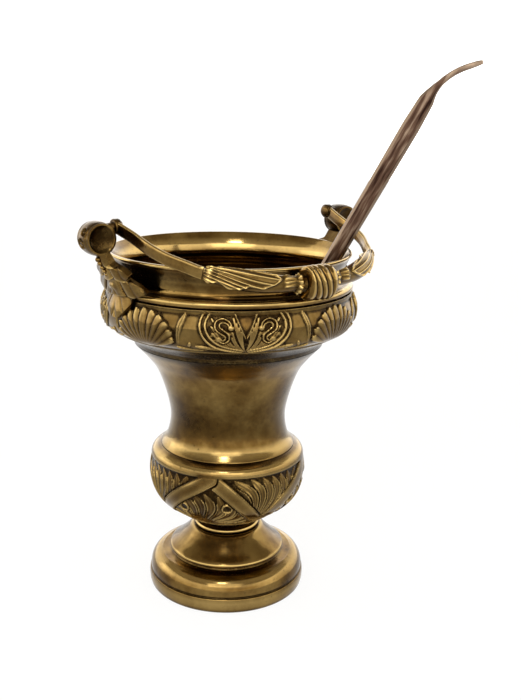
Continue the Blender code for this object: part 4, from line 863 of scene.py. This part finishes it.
def gripMesh(side):
    # an acanthus leaf wrapped over a round core, with a curled tip at the strap and a frill at the knot
    s = bail
    line, along = bailLine()
    first = int(np.argmax(line[:, 0] < s["gripStart"] * s["span"]))
    last = int(np.argmax(line[:, 0] < s["knotHalf"] + s["play"]))
    line, along = line[first:last], along[first:last]
    along[-1] = (-1.0, 0.0)
    share = np.linspace(0, 1, len(line))
    swell = np.sin(math.pi * np.minimum(1, share / 0.9) ** 0.55 / 1.35) ** 2
    depth = s["gripDepth"] + swell * (s["gripRadius"] - 1.0 - s["gripDepth"])
    tall = s["gripTall"] + swell * (s["gripRadius"] - s["gripTall"])
    close = np.clip((share - 0.9) / 0.1, 0, 1)
    depth, tall = depth + close * (s["gripEnd"] - depth), tall + close * (s["gripEnd"] - tall)
    # the turns are fine enough that the slanting veins stay unbroken
    angles, run = np.meshgrid(evenTurns(s["gripTurns"]), share)
    turn = np.mod(angles - math.radians(s["leafMiddle"]) + math.pi, fullTurn) - math.pi
    left = s["leafEnd"] - run
    lobed = 0.74 + 0.26 * np.abs(np.cos(math.pi * 3.5 * run))
    edge = math.radians(s["leafHalf"]) * lobed * np.clip(left / 0.5, 0.02, 1) ** 0.45
    onLeaf = np.clip((edge - np.abs(turn)) / 0.10, 0, 1) * np.clip(left / 0.03, 0, 1)
    wave = 2.3 * turn + 3.4 * run + 0.3 * np.sin(6 * run + 2 * turn)
    vein = (0.5 + 0.5 * np.cos(fullTurn * wave)) ** 3
    curl = np.clip(1 - np.abs(np.abs(turn) - edge + 0.16) / 0.16, 0, 1)
    relief = onLeaf * (0.55 + 0.75 * vein + 0.5 * curl)
    sprout = np.clip((s["sprout"][1] - run) / 0.14, 0, 1) * np.clip((run - s["sprout"][0]) / 0.03, 0, 1)
    sprout = sprout * np.clip((1.0 - np.abs(turn)) / 0.2, 0, 1)
    relief = relief + sprout * (0.4 + 0.6 * (0.5 + 0.5 * np.cos(fullTurn * (1.9 * turn - 3.0 * run))))
    frill = ridge(run - s["frill"][0], s["frill"][1]) * (0.75 + 0.45 * np.cos(10 * angles))
    tip = ridge(run - s["tip"][0], s["tip"][1]) * (0.9 + 0.4 * np.cos(3 * turn))
    relief = relief + 1.6 * frill + 1.3 * tip - s["sunk"]
    inner = np.clip(np.cos(angles + math.pi), 0, 1)  # the side next the bucket keeps to the solid
    relief = np.minimum(relief, s["proud"] - s["proud"] * inner)
    soft = blurred(relief, 5)
    # the leaf's ground is darkened as patina in the hollows, and the bare core under the grip as painted
    # shade
    hollow = np.clip((soft - relief) / 0.4, 0, 1) + 0.25 * (onLeaf < 0.5) * (np.sin(angles) < 0)
    worn = np.clip((relief - soft) / 0.4, 0, 1)
    out = np.cos(angles) * (depth[:, None] + relief)
    up = np.sin(angles) * (tall[:, None] + relief)
    x, y = line[:, :1] - out * along[:, 1:], line[:, 1:] + out * along[:, :1]
    return gridMesh("grip", np.stack([side * x, y, up], axis=-1), hollow=np.clip(hollow, 0, 1), worn=worn)


def knotMesh():
    # rings that stand a little askew
    s = bail
    x = np.linspace(-s["knotHalf"], s["knotHalf"], s["knotRows"])
    ring = np.abs(np.sin(math.pi * s["rings"] * (x / s["knotHalf"] + 1) / 2))
    core = (s["knotRadius"] - s["ringDeep"]) * (1 - 0.16 * (x / s["knotHalf"]) ** 4)
    angles, places = np.meshgrid(evenTurns(s["turns"]), x)
    fade = 1 - (places / s["knotHalf"]) ** 2
    radii = (core + s["ringDeep"] * np.sqrt(ring))[:, None] + 0 * angles
    askew = s["knotSkew"] * radii * np.sin(angles) * fade
    points = np.stack([places - askew, radii * np.cos(angles) - s["reach"],
                       s["knotTall"] * radii * np.sin(angles)], axis=-1)
    inside = np.abs(x) < 0.97 * s["knotHalf"]
    hollow = 0.9 * np.clip(1 - ring / 0.42, 0, 1) * inside
    worn = 0.7 * np.clip((ring - 0.8) / 0.2, 0, 1)
    return gridMesh("knot", points, hollow=hollow[:, None] + 0 * angles, worn=worn[:, None] + 0 * angles)


def makeBail():
    for word, side in sides:
        addPiece(word + "Arm", armMesh(side), "aged_brass", "bail", [word + "_arm"], bailPlace)
        addPiece(word + "Pin", pinMesh(side), "dark_brass", "bail", [word + "_pivot_pin"], bailPlace)
        addPiece(word + "Grip", gripMesh(side), "aged_brass", "bail", [word + "_leaf_grip"], bailPlace, 60)
    addPiece("gripKnot", knotMesh(), "aged_brass", "bail", ["grip_knot"], bailPlace, 60)


makeBail()
print("bail")


# Sprinkler: pierced ball on a ferrule, and a chamfered bar that flattens into a curl. Local X is the way it
# leans, and the ball's middle is its origin
sprinkler = dict(
    ball=15.2, wall=1.4, gap=0.3, lap=3.0, hole=1.3, holeRows=((90.0, 1), (52.0, 6)), drill=(10.0, 22.0),
    spigot=4.6, spigotLong=8.0, ferruleBase=13.88, ferruleLong=24.0, ferruleRadius=7.4,
    tenon=4.6, tenonLong=12.0, length=338.0, bar=5.4, top=6.4, chamfer=0.30, turns=96,
    curlRadius=48.0, curlAngle=43.0, curlTip=10.7, curlThick=2.1, curlWide=6.25,
    barRows=80, curlRows=40, tipRows=14, wornRows=26, spongeLoose=0.5, spongePit=0.9, spongeRows=60)
spongeLow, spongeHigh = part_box("sprinkler_sponge")
seat = Matrix.Translation((spongeLow + spongeHigh) / 2) @ leanTurn


def headMeshes():
    s = sprinkler
    outer, inner, gap = s["ball"], s["ball"] - s["wall"], s["gap"]
    neck, bore = math.asin(s["spigot"] / outer), s["spigot"] - s["wall"]
    turns = np.linspace(neck, math.pi / 2, 20)
    cap = [(bore, outer + s["spigotLong"]), (s["spigot"], outer + s["spigotLong"])]
    cap += [(outer * math.sin(a), outer * math.cos(a) + gap) for a in turns]
    cap += [(inner * math.sin(a), inner * math.cos(a) + gap) for a in turns[::-1]]
    cap += [(bore, math.sqrt(inner ** 2 - bore ** 2) + gap)]
    lapOuter = inner - gap
    lapInner = lapOuter - 0.4 * s["wall"]
    quarter = np.linspace(0, math.radians(89.6), 22)
    bowl = [(lapInner, s["lap"]), (lapOuter, s["lap"]), (lapOuter, 0.0)]
    bowl += [(outer * math.cos(a), -outer * math.sin(a)) for a in quarter]
    bowl += [(inner * math.cos(a), -inner * math.sin(a)) for a in quarter[:2:-1]]
    bowl += [(lapInner, -0.12 * inner)]
    return turnedMesh("headCap", cap, s["turns"]), turnedMesh("headBowl", bowl, s["turns"]), lapInner - gap


def pierced(piece):
    s = sprinkler
    cutters = []
    near, far = s["drill"]
    outline = [(0.02, far), (s["hole"], far), (s["hole"], near), (0.02, near)]
    for degrees, count in s["holeRows"]:
        drop = math.radians(degrees)
        for turn in evenTurns(count):
            way = Vector((math.cos(drop) * math.cos(turn), math.cos(drop) * math.sin(turn), -math.sin(drop)))
            cutter = linked("drill", turnedMesh("drill", outline, 24, loop=False))
            cutter.matrix_world = seat @ way.to_track_quat("Z", "Y").to_matrix().to_4x4()
            cut = piece.modifiers.new("hole", "BOOLEAN")
            cut.operation, cut.object = "DIFFERENCE", cutter
            cutters.append(cutter)
    bpy.context.view_layer.update()
    done = bpy.data.meshes.new_from_object(piece.evaluated_get(bpy.context.evaluated_depsgraph_get()))
    piece.modifiers.clear()
    piece.data = done
    for cutter in cutters:
        bpy.data.objects.remove(cutter)


def ferruleMesh():
    s = sprinkler
    low, high, r = s["ferruleBase"], s["ferruleBase"] + s["ferruleLong"], s["ferruleRadius"]
    spigot, socket = s["spigot"] + s["gap"], s["tenon"] + s["gap"]
    spigotEnd, socketEnd = s["ball"] + s["spigotLong"] + s["gap"], high - s["tenonLong"] - s["gap"]
    outer = [(0.80 * r, high), (0.88 * r, high - 0.5), (0.92 * r, high - 1.5), (0.88 * r, high - 2.6),
             (0.80 * r, high - 3.2), (0.78 * r, high - 8), (0.80 * r, low + 8), (0.85 * r, low + 5.2),
             (0.97 * r, low + 4.2), (r, low + 3.0), (r, low + 1.4)]
    ballSeat = [(q, math.sqrt(s["ball"] ** 2 - q ** 2) + 2 * s["gap"]) for q in np.linspace(r, spigot, 6)]
    inside = [(spigot, spigotEnd), (0.5 * spigot, spigotEnd), (0.5 * spigot, socketEnd), (socket, socketEnd)]
    return turnedMesh("ferrule", rounded([(socket, high)] + outer + ballSeat + inside, 0.25), s["turns"])


def handleMesh():
    s = sprinkler
    cut, top, bar, thin, tenon = s["chamfer"], s["top"], s["bar"], s["curlThick"], 0.70 * s["tenon"]
    corners = [(1, -1 + cut), (1, 1 - cut), (1 - cut, 1), (cut - 1, 1), (-1, 1 - cut), (-1, cut - 1),
               (cut - 1, -1), (1 - cut, -1)]
    corners = rounded(corners, 0.10, steps=3)
    socket = s["ferruleBase"] + s["ferruleLong"]
    shoulder = socket + s["gap"]

    def section(x, z, turn, half, deep):
        return [(x + half * a * math.cos(turn), deep * b, z - half * a * math.sin(turn)) for a, b in corners]

    rows = [section(0, z, 0, tenon, tenon) for z in (socket - s["tenonLong"], shoulder)]
    marks = [(shoulder, bar, bar), (0.5 * (s["length"] + shoulder), 1.04 * bar, bar),
             (0.84 * s["length"], 0.97 * top, bar), (0.94 * s["length"], top, 1.06 * bar),
             (s["length"], 0.86 * top, 1.1 * bar)]
    places = [m[0] for m in marks]
    for z in np.linspace(shoulder, s["length"], s["barRows"]):
        half, deep = (np.interp(z, places, [m[k] for m in marks]) for k in (1, 2))
        rows.append(section(0, z, 0, half, deep))
    steps = np.linspace(0, 1, s["curlRows"])[1:]
    thick = np.interp(steps, [0, 0.2, 0.4, 0.6, 1], [0.86 * top, 0.55 * top, 1.1 * thin, thin, thin])
    for share, half in zip(steps, thick):
        turn = math.radians(share * s["curlAngle"])
        x, z = s["curlRadius"] * (1 - math.cos(turn)), s["length"] + s["curlRadius"] * math.sin(turn)
        deep = 1.1 * bar + share * (s["curlWide"] - 1.1 * bar)
        rows.append(section(x, z, turn, half, deep))
    for share in np.sin(np.linspace(0, math.pi / 2, s["tipRows"]))[1:]:
        tipX, tipZ = x + share * s["curlTip"] * math.sin(turn), z + share * s["curlTip"] * math.cos(turn)
        deep = s["curlWide"] * math.sqrt(max(0.02, 1 - share ** 2.2))
        half = thin * (0.45 + 0.55 * math.sqrt(max(0.0, 1 - share ** 2)))
        rows.append(section(tipX, tipZ, turn, half, deep))
    # the chamfered edges are lightened: wear, with painted highlights
    edge = np.array([0.75 if abs(a) > 0.72 and abs(b) > 0.72 else 0.0 for a, b in corners])
    # the curl is lightened: thumb wear, with a painted highlight
    wearAndHighlight = np.clip((np.arange(len(rows)) - len(rows) + s["wornRows"]) / 16, 0, 0.8)
    return gridMesh("handle", np.array(rows), worn=np.maximum(edge[None, :], wearAndHighlight[:, None]))


def spongeMesh(core):
    # natural sponge: a ball with pits drawn in from a fixed pattern
    s = sprinkler
    angles, falls = np.meshgrid(evenTurns(s["turns"]), np.linspace(0.03, math.pi - 0.03, s["spongeRows"]))
    pits = np.sin(9 * angles + 3 * np.sin(7 * falls)) * np.sin(13 * falls + 2 * np.sin(5 * angles))
    radius = core - s["spongeLoose"] - s["spongePit"] * np.clip(pits * np.sin(falls), 0, 1) ** 2
    flat = radius * np.sin(falls)
    points = np.stack([flat * np.cos(angles), flat * np.sin(angles), radius * np.cos(falls)], axis=-1)
    return gridMesh("spongeBall", points)


def makeSprinkler():
    cap, bowl, core = headMeshes()
    addPiece("headCap", cap, "dark_brass", "sprinkler", ["head_cap"], seat)
    head = addPiece("headBowl", bowl, "dark_brass", "sprinkler", ["head_bowl"], seat)
    pierced(head)
    addPiece("ferrule", ferruleMesh(), "dark_brass", "sprinkler", ["sprinkler_ferrule"], seat)
    addPiece("handle", handleMesh(), "handle_bronze", "sprinkler", ["sprinkler_handle"], seat, sharp=50)
    piece = addPiece("spongeBall", spongeMesh(core), "sponge", "sponge", ["sprinkler_sponge"], seat, sharp=80)


makeSprinkler()
print("sprinkler")


# Stage: a pale floor and a round pale wall, which the metal shows as the camera does, under a warm grey
# ceiling. Sizes are metres
stage = dict(floor="#f4f3f1", ceiling="#cdc4b2", wallRadius=4.0, wallHeight=3.0, wallSides=96, lift=0.88,
             rough=0.9)


def stagePiece(name, points, faces, material):
    mesh = bpy.data.meshes.new(name)
    mesh.from_pydata(points.tolist(), [], faces)
    mesh.materials.append(material)
    linked(name, mesh)


def makeStage():
    s = stage
    paper, tree, shader = newMaterial("paleFloor")
    setSockets(tree, shader, {"Base Color": linear(s["floor"]), "Roughness": s["rough"]})
    path = addNode(tree, "LightPath").outputs
    seen = addNode(tree, "Math", {0: path["Is Camera Ray"], 1: path["Is Glossy Ray"]}, operation="MAXIMUM")
    seenAll = addNode(tree, "Math", {0: seen, 1: path["Is Transmission Ray"]}, operation="MAXIMUM")
    part = addNode(tree, "Math", {0: seenAll, 1: s["lift"]}, operation="MULTIPLY")
    glow = addNode(tree, "Emission", {"Color": white, "Strength": 1.0})
    mixed = addNode(tree, "MixShader", {0: part, 1: shader, 2: glow})
    setSockets(tree, tree.nodes["Material Output"], {"Surface": mixed})
    count = s["wallSides"]
    circle = evenTurns(count)
    ring = np.stack([np.cos(circle), np.sin(circle), 0 * circle], axis=1) * s["wallRadius"]
    stagePiece("floor", ring, [list(range(count))], paper)
    wallPaint, tree, shader = newMaterial("paleWall")
    setSockets(tree, shader, {"Base Color": linear(s["floor"]), "Emission Color": white,
                              "Emission Strength": 1.0})
    high = ring + np.array([0, 0, s["wallHeight"]])
    stagePiece("wall", np.vstack([ring, high]),
               [(k, (k + 1) % count, count + (k + 1) % count, count + k) for k in range(count)], wallPaint)


# Lamps: a small box high in front, a broad window above the camera and a low box to the left. Turn is from
# the camera's side, in degrees, and each lamp is aimed at a point this many metres up the bucket
lampAim = 0.18
lamps = [dict(name="spotBox", turn=-8.0, rise=54.0, away=1.2, wide=0.2, tall=0.2, watts=2.2),
         dict(name="window", turn=-2.0, rise=34.0, away=1.3, wide=1.1, tall=0.6, watts=5.0),
         dict(name="leftBox", turn=-105.0, rise=14.0, away=1.4, wide=0.9, tall=0.5, watts=1.9)]


def makeLamps():
    for s in lamps:
        turn, rise = cameraTurn + math.radians(s["turn"]), math.radians(s["rise"])
        way = Vector((math.cos(turn) * math.cos(rise), math.sin(turn) * math.cos(rise), math.sin(rise)))
        light = bpy.data.lights.new(s["name"], "AREA")
        light.shape, light.size, light.size_y, light.energy = "RECTANGLE", s["wide"], s["tall"], s["watts"]
        made = linked(s["name"], light)
        made.location = axis + Vector((0, 0, lampAim)) + way * s["away"]
        made.rotation_euler = way.to_track_quat("Z", "Y").to_euler()
    world = bpy.data.worlds.new("room")
    bpy.context.scene.world = world
    world.use_nodes = True
    setSockets(world.node_tree, world.node_tree.nodes["Background"],
               {"Color": linear(stage["ceiling"]), "Strength": 1.0})


makeStage()
makeLamps()
bpy.context.scene.view_settings.view_transform = "Standard"
print("stage lit")
